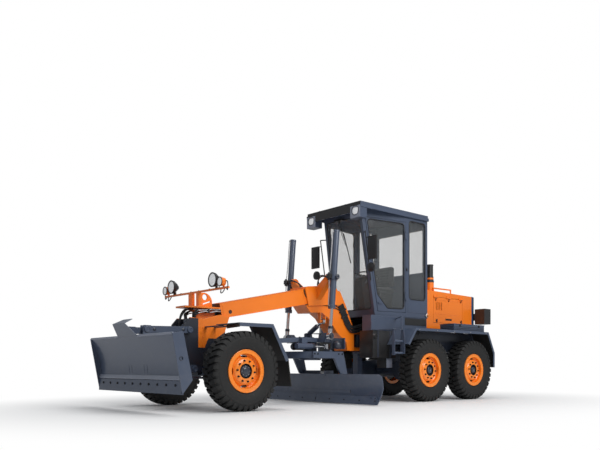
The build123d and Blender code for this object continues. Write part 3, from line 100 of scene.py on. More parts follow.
class Body(str, Enum):
    """The CAD bodies that pieces ride on."""

    REAR = "rear_body"
    FRONT = "front_body"
    DRAWBAR = "drawbar"
    CIRCLE = "circle"
    MOLDBOARD = "moldboard"
    LIFT_BARRELS = "lift_barrels"
    LIFT_RODS = "lift_rods"
    DOZER = "dozer_blade"
    UPPER_LINKS = "upper_links"
    DOZER_BARREL = "dozer_barrel"
    LID_LEFT = "hood_lid_left"
    LID_RIGHT = "hood_lid_right"


class Signal:
    """One number on its way through a material, with arithmetic that adds Math nodes."""

    def __init__(self, graph: "Graph", socket: Socket) -> None:
        """Wraps an output socket of a graph."""
        self.graph = graph
        self.socket = socket

    def _math(self, operation: str, first: object, second: object = None) -> "Signal":
        """Adds a Math node on two values.

        Args:
            operation: Math node operation.
            first: Signal or number.
            second: Signal or number, where the operation takes two.

        Returns:
            The node's result.
        """
        values = {0: first} if second is None else {0: first, 1: second}
        return Signal(
            self.graph, self.graph.node("ShaderNodeMath", {"operation": operation}, values).outputs[0])

    def __add__(self, other: object) -> "Signal":
        """Adds a value."""
        return self._math("ADD", self, other)

    __radd__ = __add__

    def __sub__(self, other: object) -> "Signal":
        """Takes a value away."""
        return self._math("SUBTRACT", self, other)

    def __rsub__(self, other: object) -> "Signal":
        """Takes this away from a value."""
        return self._math("SUBTRACT", other, self)

    def __mul__(self, other: object) -> "Signal":
        """Multiplies by a value."""
        return self._math("MULTIPLY", self, other)

    __rmul__ = __mul__

    def __truediv__(self, other: object) -> "Signal":
        """Divides by a value."""
        return self._math("DIVIDE", self, other)

    def __pow__(self, other: object) -> "Signal":
        """Raises to a power."""
        return self._math("POWER", self, other)

    def wave(self) -> "Signal":
        """Gives the sine."""
        return self._math("SINE", self)

    def step(self, low: float, high: float) -> "Signal":
        """Rises smoothly from 0 to 1 between two values.

        Args:
            low: Value where the rise starts.
            high: Value where it ends.

        Returns:
            The smoothed step.
        """
        node = self.graph.node("ShaderNodeMapRange", {"interpolation_type": "SMOOTHSTEP"}, {
            "Value": self, "From Min": low, "From Max": high})
        return Signal(self.graph, node.outputs[0])


class Graph:
    """A material's nodes, with one Principled shader at the end."""

    def __init__(self, name: str) -> None:
        """Starts a material with a bare Principled shader.

        Args:
            name: Material's name.
        """
        self.material = bpy.data.materials.new(name)
        self.material.use_nodes = True
        self.nodes = self.material.node_tree.nodes
        self.links = self.material.node_tree.links
        self.nodes.clear()
        self.output = self.nodes.new("ShaderNodeOutputMaterial")
        self.shader = self.nodes.new("ShaderNodeBsdfPrincipled")
        self.links.new(self.shader.outputs[0], self.output.inputs["Surface"])

    def node(self, kind: str, settings: dict | None = None, values: dict | None = None) -> bpy.types.Node:
        """Adds a node.

        Args:
            kind: Node type.
            settings: Attributes set before the sockets.
            values: Numbers, colours, signals or sockets by input name or index.

        Returns:
            The node.
        """
        made = self.nodes.new(kind)
        for name, value in (settings or {}).items():
            setattr(made, name, value)
        for name, value in (values or {}).items():
            self.feed(made.inputs[name], value)
        return made

    def feed(self, socket: Socket, value: object) -> None:
        """Links a signal or socket to an input, or sets the input's own value."""
        if isinstance(value, Signal):
            self.links.new(value.socket, socket)
        elif isinstance(value, Socket):
            self.links.new(value, socket)
        else:
            socket.default_value = value

    def place(self) -> Socket:
        """Gives the object coordinates."""
        return self.node("ShaderNodeTexCoord").outputs["Object"]

    def axes(self) -> tuple[Signal, Signal, Signal]:
        """Gives the object coordinates as three signals."""
        split = self.node("ShaderNodeSeparateXYZ", None, {0: self.place()})
        return tuple(Signal(self, split.outputs[i]) for i in range(3))

    def noise(self, scale: float, detail: float = 3.0, stretch: Point = (1, 1, 1)) -> Signal:
        """Gives cloudy noise between 0 and 1.

        Args:
            scale: Features per metre.
            detail: Octaves.
            stretch: Scale along each axis.

        Returns:
            The noise.
        """
        mapping = self.node("ShaderNodeMapping", None, {"Vector": self.place(), "Scale": stretch})
        made = self.node("ShaderNodeTexNoise", None, {
            "Vector": mapping.outputs[0], "Scale": scale, "Detail": detail, "Roughness": 0.55})
        return Signal(self, made.outputs[0])

    def cells(self, scale: float) -> Signal:
        """Gives the distance to the nearest point of a random scatter."""
        made = self.node("ShaderNodeTexVoronoi", None, {"Vector": self.place(), "Scale": scale})
        return Signal(self, made.outputs["Distance"])

    def blend(self, factor: object, first: object, second: object) -> Socket:
        """Mixes two colours.

        Args:
            factor: Share of the second colour.
            first: Colour or socket.
            second: Colour or socket.

        Returns:
            The mixed colour's socket.
        """
        made = self.node("ShaderNodeMix", {"data_type": "RGBA"})
        self.feed(made.inputs[0], factor)
        self.feed(made.inputs[6], first)
        self.feed(made.inputs[7], second)
        return made.outputs[2]

    def relief(self, height: Signal, distance: float, strength: float = 1.0, edge: float = 0.0) -> None:
        """Bumps the surface by a height, over edges rounded to a radius.

        Args:
            height: Height signal.
            distance: Depth of one unit of height.
            strength: Share of the effect.
            edge: Radius that sharp edges are shaded with.
        """
        bump = self.node(
            "ShaderNodeBump", None, {"Height": height, "Distance": distance, "Strength": strength})
        if edge > 0.0:
            rounding = self.node("ShaderNodeBevel", {"samples": 4}, {"Radius": edge})
            self.feed(bump.inputs["Normal"], rounding.outputs[0])
        self.feed(self.shader.inputs["Normal"], bump.outputs[0])

    def set(self, **values: object) -> None:
        """Sets the shader's inputs by name, with _ for a space."""
        for name, value in values.items():
            self.feed(self.shader.inputs[name.replace("_", " ")], value)


def rgb(*values: float) -> Colour:
    """Gives an opaque colour."""
    return (*values, 1.0)


def scaled(colour: Sequence[float], share: float) -> Colour:
    """Gives a colour made darker or lighter by a share."""
    return rgb(*(min(1.0, value * share) for value in colour[:3]))


@dataclass(frozen=True)
class Finish:
    """A finish with its record slot. Each kind builds its own nodes."""

    name: str
    slot: str
    colour: Colour

    def dress(self, graph: Graph) -> None:
        """Builds the finish's nodes.

        Args:
            graph: Nodes of the finish's material.
        """
        graph.set(Base_Color=self.colour)

    def material(self) -> bpy.types.Material:
        """Gives the finish's material, built on first use."""
        found = bpy.data.materials.get(self.name)
        if found is None:
            graph = Graph(self.name)
            self.dress(graph)
            found = graph.material
        return found


@dataclass(frozen=True)
class Paint(Finish):
    """Sprayed machine enamel: faint mottling, orange peel, a thin film of dust low down and rounded edges."""

    roughness: float = 0.36
    edge: float = 0.004
    dust: Colour = rgb(0.36, 0.33, 0.29)
    dust_share: float = 0.1

    def dress(self, graph: Graph) -> None:
        """Builds the finish's nodes.

        Args:
            graph: Nodes of the finish's material.
        """
        mottle = graph.noise(2.3, 4.0)
        tone = graph.blend(mottle, scaled(self.colour, 0.9), scaled(self.colour, 1.08))
        _, _, height = graph.axes()
        low = 1.0 - height.step(0.1, 1.3)
        film = graph.noise(9.0, 6.0).step(0.42, 0.75) * (low * self.dust_share + self.dust_share * 0.25)
        graph.set(Base_Color=graph.blend(film, tone, self.dust), Coat_Roughness=0.12, Coat_Weight=0.35)
        graph.set(Roughness=mottle * 0.1 + film * 0.3 + (self.roughness - 0.05))
        graph.relief(graph.noise(420.0, 1.0), 0.00012, 0.5, self.edge)


@dataclass(frozen=True)
class HeadPaint(Paint):
    """The front frame's enamel with painted shade: dark ahead of the dozer bracket's edge and below the
    head's corner line, where the frame lies in shade.
    """

    front: float = 2.703
    bracket_top: float = 1.33
    head_back: float = 2.1
    head_low: float = 0.9
    head_top: float = 1.3
    corner: Pair = (2.5285, 1.038)
    corner_fall: float = -2.25
    line_foot: Pair = (2.392, 1.04)
    line_fall: float = -0.633
    blur: float = 0.001
    # Colour of the painted shade on the front frame.
    dark: Colour = rgb(0.022, 0.026, 0.038)

    def _past(self, value: Signal, limit: float = 0.0) -> Signal:
        """Gives 1 where a value is past a limit, and 0 before it."""
        return value.step(limit, limit + self.blur)

    def dress(self, graph: Graph) -> None:
        """Builds the finish's nodes.

        Args:
            graph: Nodes of the finish's material.
        """
        super().dress(graph)
        x, _, z = graph.axes()
        ahead = self._past(x, self.front) * (1.0 - self._past(z, self.bracket_top))
        knee = (x - self.corner[0]) * self.corner_fall + self.corner[1]
        rise = (x - self.line_foot[0]) * self.line_fall + self.line_foot[1]
        under = 1.0 - self._past(z - rise) * self._past(z - self.corner[1])
        beyond = self._past(z - knee) * self._past(z - self.head_low) * self._past(x - self.corner[0])
        low = under * self._past(x - self.head_back) * (1.0 - beyond) * (1.0 - self._past(z - self.head_top))
        # Painted shade: this mask darkens the frame ahead of the bracket and under the head's corner line.
        painted_shade_mask = 1.0 - (1.0 - ahead) * (1.0 - low)
        colour = graph.shader.inputs["Base Color"].links[0].from_socket
        graph.set(Base_Color=graph.blend(painted_shade_mask, colour, self.dark))


@dataclass(frozen=True)
class TyreRubber(Finish):
    """Moulded tyre rubber: matt, slightly blotchy, with fine pores and a little dust."""

    def dress(self, graph: Graph) -> None:
        """Builds the finish's nodes.

        Args:
            graph: Nodes of the finish's material.
        """
        blotch = graph.noise(5.0, 5.0)
        tone = graph.blend(blotch, scaled(self.colour, 0.75), scaled(self.colour, 1.35))
        dust = graph.noise(24.0, 6.0).step(0.55, 0.85) * 0.12
        graph.set(Base_Color=graph.blend(dust, tone, rgb(0.2, 0.18, 0.16)), Specular_IOR_Level=0.35)
        graph.set(Roughness=blotch * 0.14 + 0.62)
        graph.relief(graph.noise(900.0, 2.0), 0.0003, 0.6)


@dataclass(frozen=True)
class HoseRubber(Finish):
    """Hose and seal rubber: satin black with a fine wrapped grain."""

    def dress(self, graph: Graph) -> None:
        """Builds the finish's nodes.

        Args:
            graph: Nodes of the finish's material.
        """
        cloud = graph.noise(40.0, 3.0)
        graph.set(Base_Color=graph.blend(cloud, self.colour, scaled(self.colour, 1.7)))
        graph.set(Roughness=cloud * 0.15 + 0.42)
        graph.relief(graph.noise(1500.0, 1.0), 0.0001, 0.5)


@dataclass(frozen=True)
class Metal(Finish):
    """Bare metal: chromed rods, ground pins or zinc-plated fasteners, told apart by colour and roughness."""

    roughness: float = 0.08
    streak: float = 0.06
    edge: float = 0.0015

    def dress(self, graph: Graph) -> None:
        """Builds the finish's nodes.

        Args:
            graph: Nodes of the finish's material.
        """
        grind = graph.noise(60.0, 3.0, (1, 1, 14))
        tone = graph.blend(grind, scaled(self.colour, 0.88), self.colour)
        graph.set(Base_Color=tone, Metallic=1.0, Roughness=grind * self.streak + self.roughness)
        graph.relief(grind, 0.00005, 0.4, self.edge)


@dataclass(frozen=True)
class Plastic(Finish):
    """Moulded plastic with a fine pebbled grain."""

    roughness: float = 0.48
    grain: float = 700.0

    def dress(self, graph: Graph) -> None:
        """Builds the finish's nodes.

        Args:
            graph: Nodes of the finish's material.
        """
        cloud = graph.noise(8.0, 3.0)
        graph.set(Base_Color=graph.blend(cloud, scaled(self.colour, 0.85), scaled(self.colour, 1.25)))
        graph.set(Roughness=cloud * 0.1 + self.roughness)
        graph.relief(graph.cells(self.grain), 0.00018, 0.5, 0.002)


@dataclass(frozen=True)
class Casting(Finish):
    """Sand-cast iron: rough, dark and speckled."""

    def dress(self, graph: Graph) -> None:
        """Builds the finish's nodes.

        Args:
            graph: Nodes of the finish's material.
        """
        cloud = graph.noise(14.0, 6.0)
        graph.set(Base_Color=graph.blend(cloud, scaled(self.colour, 0.6), scaled(self.colour, 1.4)))
        graph.set(Metallic=0.55, Roughness=cloud * 0.2 + 0.55)
        graph.relief(graph.noise(260.0, 4.0), 0.0006, 0.8, 0.003)


@dataclass(frozen=True)
class Pane(Finish):
    """Tinted safety glass: mostly clear, with a faint cloudy film."""

    cover: float = 0.14

    def dress(self, graph: Graph) -> None:
        """Builds the finish's nodes.

        Args:
            graph: Nodes of the finish's material.
        """
        film = graph.noise(3.0, 4.0)
        graph.set(Base_Color=graph.blend(film, self.colour, scaled(self.colour, 1.25)))
        graph.set(Roughness=film * 0.05 + 0.03, Alpha=film * 0.06 + self.cover, Specular_IOR_Level=0.5)
        graph.relief(graph.noise(1.6, 1.0), 0.0004, 0.3)


@dataclass(frozen=True)
class LampLens(Finish):
    """Fluted lamp glass over a bright reflector."""

    glow: float = 0.0
    flutes: float = 420.0

    def dress(self, graph: Graph) -> None:
        """Builds the finish's nodes.

        Args:
            graph: Nodes of the finish's material.
        """
        _, y, z = graph.axes()
        flute = (y * self.flutes).wave() * 0.5 + 0.5
        rung = (z * self.flutes * 0.6).wave() * 0.5 + 0.5
        shade = flute * 0.6 + rung * 0.4
        graph.set(Base_Color=graph.blend(shade, scaled(self.colour, 0.62), self.colour))
        graph.set(Roughness=shade * 0.1 + 0.06, Coat_Weight=1.0, Metallic=0.35)
        graph.set(Emission_Color=self.colour, Emission_Strength=self.glow)
        graph.relief(shade, 0.0012, 0.7)


@dataclass(frozen=True)
class SeatCloth(Finish):
    """Woven seat cloth: crossed threads with a soft sheen."""

    thread: float = 1700.0

    def dress(self, graph: Graph) -> None:
        """Builds the finish's nodes.

        Args:
            graph: Nodes of the finish's material.
        """
        x, y, z = graph.axes()
        warp = (y * self.thread).wave() * 0.5 + 0.5
        weft = ((x + z) * self.thread).wave() * 0.5 + 0.5
        weave = warp * weft
        cloud = graph.noise(18.0, 4.0)
        tone = graph.blend(cloud, scaled(self.colour, 0.8), scaled(self.colour, 1.3))
        graph.set(Base_Color=graph.blend(weave * 0.5, tone, scaled(self.colour, 1.9)), Sheen_Weight=0.35)
        graph.set(Roughness=cloud * 0.1 + 0.82)
        graph.relief(weave, 0.0005, 0.7)


ORANGE = Paint("Orange enamel", "orange_paint", rgb(0.96, 0.212, 0.01), 0.32, dust_share=0.04)
ORANGE_RIM = Paint("Rim enamel", "orange_paint", rgb(0.98, 0.245, 0.012), 0.28, dust_share=0.04)
ORANGE_HEAD = HeadPaint("Head enamel with painted shade", "orange_paint", rgb(0.96, 0.212, 0.01), 0.32, dust_share=0.04)
SLATE = Paint("Slate blue enamel", "blue_paint", rgb(0.056, 0.075, 0.12), 0.34, dust_share=0.04)
# A darkened copy of the slate enamel: painted shade for slate parts that sit in shade.
SLATE_SHADED = Paint("Slate enamel in painted shade", "blue_paint", rgb(0.02, 0.026, 0.042), 0.38, dust_share=0.04)
BLACK = Paint("Black enamel", "black_paint", rgb(0.012, 0.012, 0.013), 0.42, dust_share=0.05)
TYRE = TyreRubber("Tyre rubber", "tyre", rgb(0.013, 0.013, 0.013))
HOSE = HoseRubber("Hose rubber", "black_plastic", rgb(0.01, 0.01, 0.011))
CHROME = Metal("Chromed rod", "chrome", rgb(0.86, 0.86, 0.87), 0.1)
STEEL = Metal("Plated steel", "chrome", rgb(0.46, 0.46, 0.47), 0.32, 0.16)
MIRROR_GLASS = Metal("Mirror glass", "chrome", rgb(0.9, 0.91, 0.92), 0.02, 0.01)
CAB_PLASTIC = Plastic("Cab plastic", "cab_plastic", rgb(0.03, 0.03, 0.031))
BLACK_PLASTIC = Plastic("Black housing plastic", "black_plastic", rgb(0.014, 0.014, 0.015), 0.34, 1100.0)
IRON = Casting("Cast iron", "engine_iron", rgb(0.085, 0.085, 0.088))
GLASS = Pane("Cab glass", "glass", rgb(0.2, 0.21, 0.21))
LENS = LampLens("Lamp glass", "black_plastic", rgb(0.88, 0.89, 0.9), 0.32)
AMBER = LampLens("Amber lens", "black_plastic", rgb(0.9, 0.26, 0.03), 0.08, 900.0)
RED_LENS = LampLens("Red lens", "black_plastic", rgb(0.55, 0.02, 0.015), 0.05, 900.0)
CLOTH = SeatCloth("Seat cloth", "seat_fabric", rgb(0.03, 0.03, 0.032))
DARK_STEEL = Metal("Dark fasteners", "chrome", rgb(0.045, 0.045, 0.048), 0.42, 0.18)
BORE = Paint("Shaded bore", "black_paint", rgb(0.05, 0.016, 0.007), 0.6, dust_share=0.02)
LAMP_GREY = Paint("Pale slate enamel", "blue_paint", rgb(0.235, 0.262, 0.33), 0.38)
# A lighter copy of the slate enamel: painted highlight on the dozer's ridge and rolled top edge.
SLATE_HIGHLIGHT = Paint("Slate enamel with painted highlight", "blue_paint", rgb(0.2, 0.225, 0.29), 0.34)
DEEP_BLUE = Paint("Deep blue stripe", "blue_paint", rgb(0.006, 0.05, 0.165), 0.34)
WHITE_PLASTIC = Plastic("White housing plastic", "black_plastic", rgb(0.7, 0.7, 0.69), 0.36)
RUBBER_SHEET = HoseRubber("Rubber sheet", "black_plastic", rgb(0.01, 0.01, 0.01))

NODE_FINISH: dict[str, Finish] = {
    "orange_paint": ORANGE, "blue_paint": SLATE, "black_paint": BLACK, "tyre": TYRE, "chrome": CHROME,
    "glass": GLASS, "engine_iron": IRON, "seat_fabric": CLOTH, "cab_plastic": CAB_PLASTIC,
    "black_plastic": BLACK_PLASTIC,}


def spin_frame(axis: Vector) -> tuple[Vector, Vector]:
    """Gives two directions square to an axis and to each other.

    Args:
        axis: The axis.

    Returns:
        The two directions.
    """
    helper = Vector((0.0, 0.0, 1.0)) if abs(axis.z) < 0.9 else Vector((1.0, 0.0, 0.0))
    across = axis.cross(helper).normalized()
    return across, axis.cross(across).normalized()


def publish(item: Item, body: str, finish: Finish, replaces: str = "") -> Item:
    """Puts a finished piece on its body with its finish.

    Args:
        item: The piece.
        body: Body that it rides on.
        finish: Its finish.
        replaces: CAD node that it stands for, if any.

    Returns:
        The piece.
    """
    item.data.materials.clear()
    item.data.materials.append(finish.material())
    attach(item, body.value if isinstance(body, Body) else body)
    if replaces:
        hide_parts(replaces)
    LOG.info("made %s on %s", item.name, body)
    return item


class Shape:
    """A mesh in the making, from closed forms in metres."""

    def __init__(self) -> None:
        """Starts with nothing."""
        self.mesh = bmesh.new()

    def skin(self, rings: Sequence[Sequence[Vector]], looped: bool = False, capped: bool = True) -> "Shape":
        """Joins rings of corners into a closed skin.

        Args:
            rings: Rings with the same number of corners each.
            looped: Whether the last ring meets the first.
            capped: Whether the first and last rings are closed with a face each, where they don't meet.

        Returns:
            This shape.
        """
        rows = [[self.mesh.verts.new(corner) for corner in ring] for ring in rings]
        count = len(rows[0])
        pairs = list(zip(rows, rows[1:])) + ([(rows[-1], rows[0])] if looped else [])
        for near, far in pairs:
            for place in range(count):
                after = (place + 1) % count
                self.mesh.faces.new((near[place], near[after], far[after], far[place]))
        if capped and not looped:
            self.mesh.faces.new(rows[0][::-1])
            self.mesh.faces.new(rows[-1])
        return self

    def prism(self, outline: Sequence[Vector], shift: Vector) -> "Shape":
        """Adds a flat outline drawn out along a shift."""
        return self.skin([list(outline), [corner + shift for corner in outline]])

    def box(self, low: Vector, high: Vector) -> "Shape":
        """Adds a box between two corners."""
        outline = [Vector((x, y, low.z)) for x, y in (
            (low.x, low.y), (high.x, low.y), (high.x, high.y), (low.x, high.y))]
        return self.prism(outline, Vector((0.0, 0.0, high.z - low.z)))

    def plate(self, outline: Outline, y_from: float, y_to: float) -> "Shape":
        """Adds an upright plate along the machine, drawn as stations and heights."""
        return self.prism(
            [at(station, y_from, z) for station, z in outline], Vector((0.0, y_to - y_from, 0.0)))

    def flank(self, hand: int, outline: Outline, widths: Pair) -> "Shape":
        """Adds an upright plate on one side, between two distances from the middle."""
        return self.plate(outline, *sorted(hand * width for width in widths))

    def slab(self, hand: int, stations: Pair, widths: Pair, heights: Pair) -> "Shape":
        """Adds a box on one side, between two stations, two distances from the middle and two heights."""
        near, far = sorted(hand * width for width in widths)
        return self.box(at(stations[0], near, heights[0]), at(stations[1], far, heights[1]))

    def lathe(self, centre: Vector, axis: Vector, profile: Outline, steps: int = 32) -> "Shape":
        """Turns an outline of radius and distance along the axis.

        Args:
            centre: Point on the axis at distance 0.
            axis: Direction of the axis.
            profile: Outline from one pole to the other, or a closed one off the axis.
            steps: Flats round the axis.

        Returns:
            This shape.
        """
        axis = axis.normalized()
        first, second = spin_frame(axis)
        turns = [2.0 * math.pi * (place + 0.5) / steps for place in range(steps)]
        spokes = [first * math.cos(turn) + second * math.sin(turn) for turn in turns]
        rings = [[centre + out * radius + axis * along for out in spokes] for radius, along in profile]
        poles = profile[0][0] == 0 and profile[-1][0] == 0
        return self.skin(rings, looped=not poles, capped=False)

    def boss(self, hand: int, place: Point, profile: Outline, steps: int = 32) -> "Shape":
        """Turns an outline about a line that points out to one side from a place there."""
        return self.lathe(at(place[0], hand * place[1], place[2]), side(hand), profile, steps)

    def rod(self, start: Vector, end: Vector, radius: float, steps: int = 16) -> "Shape":
        """Adds a round bar with softened ends.

        Args:
            start: Middle of one end.
            end: Middle of the other end.
            radius: The bar's radius.
            steps: Flats round it.

        Returns:
            This shape.
        """
        run = end - start
        length, soft = run.length, min(radius * 0.25, run.length * 0.2)
        profile = [
            (0.0, 0.0), (radius - soft, 0.0), (radius, soft), (radius, length - soft),
            (radius - soft, length), (0.0, length)]
        return self.lathe(start, run, profile, steps)

    def piece(
            self, name: str, body: str, finish: Finish, bevel: float = 0.0, replaces: str = "",
            angle: float = 35.0) -> Item:
        """Closes the mesh and publishes it.

        Args:
            name: Piece's name.
            body: Body that it rides on.
            finish: Its finish.
            bevel: Width of a rounded edge, or 0 for none.
            replaces: CAD node that it stands for, if any.
            angle: Edges sharper than this many degrees stay sharp.

        Returns:
            The piece.
        """
        item = self.draft(name, angle)
        if bevel > 0.0:
            rounding = item.modifiers.new("Rounded edges", "BEVEL")
            rounding.width = bevel
            rounding.segments = 2
            rounding.limit_method = "ANGLE"
            rounding.angle_limit = math.radians(30.0)
        return publish(item, body, finish, replaces)

    def draft(self, name: str, angle: float = 35.0) -> Item:
        """Closes the mesh into an object that isn't on a body yet.

        Args:
            name: Piece's name.
            angle: Edges sharper than this many degrees stay sharp.

        Returns:
            The object.
        """
        bmesh.ops.remove_doubles(self.mesh, verts=self.mesh.verts, dist=0.00001)
        bmesh.ops.recalc_face_normals(self.mesh, faces=self.mesh.faces)
        data = bpy.data.meshes.new(name)
        self.mesh.to_mesh(data)
        self.mesh.free()
        data.polygons.foreach_set("use_smooth", [True] * len(data.polygons))
        data.set_sharp_from_angle(angle=math.radians(angle))
        item = bpy.data.objects.new(name, data)
        bpy.context.scene.collection.objects.link(item)
        return item


class Tree:
    """A Geometry Nodes tree with named inputs, which ends in realized instances and a material."""

    def __init__(self, name: str, inputs: dict[str, str]) -> None:
        """Starts a tree.

        Args:
            name: Tree's name.
            inputs: Socket type of each named input.
        """
        self.group = bpy.data.node_groups.new(name, "GeometryNodeTree")
        face = self.group.interface
        face.new_socket(name="Geometry", in_out="INPUT", socket_type="NodeSocketGeometry")
        for label, kind in {**inputs, "Finish": "NodeSocketMaterial"}.items():
            face.new_socket(name=label, in_out="INPUT", socket_type=kind)
        face.new_socket(name="Geometry", in_out="OUTPUT", socket_type="NodeSocketGeometry")
        self.given = self.group.nodes.new("NodeGroupInput").outputs
        self.result = self.group.nodes.new("NodeGroupOutput").inputs[0]

    def node(self, kind: str, settings: dict | None = None, values: dict | None = None) -> bpy.types.Node:
        """Adds a node.

        Args:
            kind: Node type.
            settings: Attributes set before the sockets.
            values: Numbers or output sockets by input name or index.

        Returns:
            The node.
        """
        made = self.group.nodes.new(kind)
        for name, value in (settings or {}).items():
            setattr(made, name, value)
        for name, value in (values or {}).items():
            if isinstance(value, Socket):
                self.group.links.new(value, made.inputs[name])
            else:
                made.inputs[name].default_value = value
        return made

    def copies(self, points: Socket, values: dict | None = None) -> Socket:
        """Sets the pattern piece on points.

        Args:
            points: The points.
            values: Further values of the instances, by input name.

        Returns:
            The instances.
        """
        pattern = self.node(
            "GeometryNodeObjectInfo", None, {"Object": self.given["Pattern"], "As Instance": True})
        given = {"Points": points, "Instance": pattern.outputs["Geometry"], **(values or {})}
        return self.node("GeometryNodeInstanceOnPoints", None, given).outputs[0]

    def end(self, geometry: Socket) -> "Tree":
        """Realizes the instances and sets the finish.

        Args:
            geometry: The instances.

        Returns:
            This tree.
        """
        real = self.node("GeometryNodeRealizeInstances", None, {0: geometry})
        coloured = self.node(
            "GeometryNodeSetMaterial", None, {0: real.outputs[0], "Material": self.given["Finish"]})
        self.group.links.new(coloured.outputs[0], self.result)
        return self

    def grow(
            self, name: str, source: bpy.types.Mesh, finish: Finish, values: dict[str, object],
            body: str = "") -> Item:
        """Runs the tree on a mesh and gives the result as a plain mesh.

        Args:
            name: Piece's name.
            source: Mesh that the tree starts from.
            finish: Its finish.
            values: Values of the named inputs.
            body: Body that the piece rides on, or nothing for a piece that isn't published yet.

        Returns:
            The piece.
        """
        item = bpy.data.objects.new(name, source)
        bpy.context.scene.collection.objects.link(item)
        modifier = item.modifiers.new("Pattern", "NODES")
        modifier.node_group = self.group
        given = {**values, "Finish": finish.material()}
        for socket in self.group.interface.items_tree:
            if socket.in_out == "INPUT" and socket.name in given:
                modifier[socket.identifier] = given[socket.name]
        evaluated = item.evaluated_get(bpy.context.evaluated_depsgraph_get())
        result = bpy.data.meshes.new_from_object(evaluated)
        item.modifiers.clear()
        item.data = result
        return publish(item, body, finish) if body else item


def points_mesh(places: Sequence[Vector] = (), facings: Sequence[Vector] = ()) -> bpy.types.Mesh:
    """Gives a mesh of loose points, each with the direction that its fastener faces.

    Args:
        places: The points.
        facings: Direction at each point.

    Returns:
        The mesh.
    """
    data = bpy.data.meshes.new("Fastener places")
    data.from_pydata([tuple(place) for place in places], [], [])
    attribute = data.attributes.new("facing", "FLOAT_VECTOR", "POINT")
    for place, facing in enumerate(facings):
        attribute.data[place].vector = facing
    return data


def path_mesh(paths: Sequence[Sequence[Vector]], closed: bool = False) -> bpy.types.Mesh:
    """Gives a mesh of runs of edges, open or closed.

    Args:
        paths: Corners of each run.
        closed: Whether each run meets its own start.

    Returns:
        The mesh.
    """
    corners, edges = [], []
    for path in paths:
        start = len(corners)
        corners += [tuple(corner) for corner in path]
        edges += [(start + place, start + place + 1) for place in range(len(path) - 1)]
        if closed:
            edges.append((start + len(path) - 1, start))
    data = bpy.data.meshes.new("Routes")
    data.from_pydata(corners, edges, [])
    return data


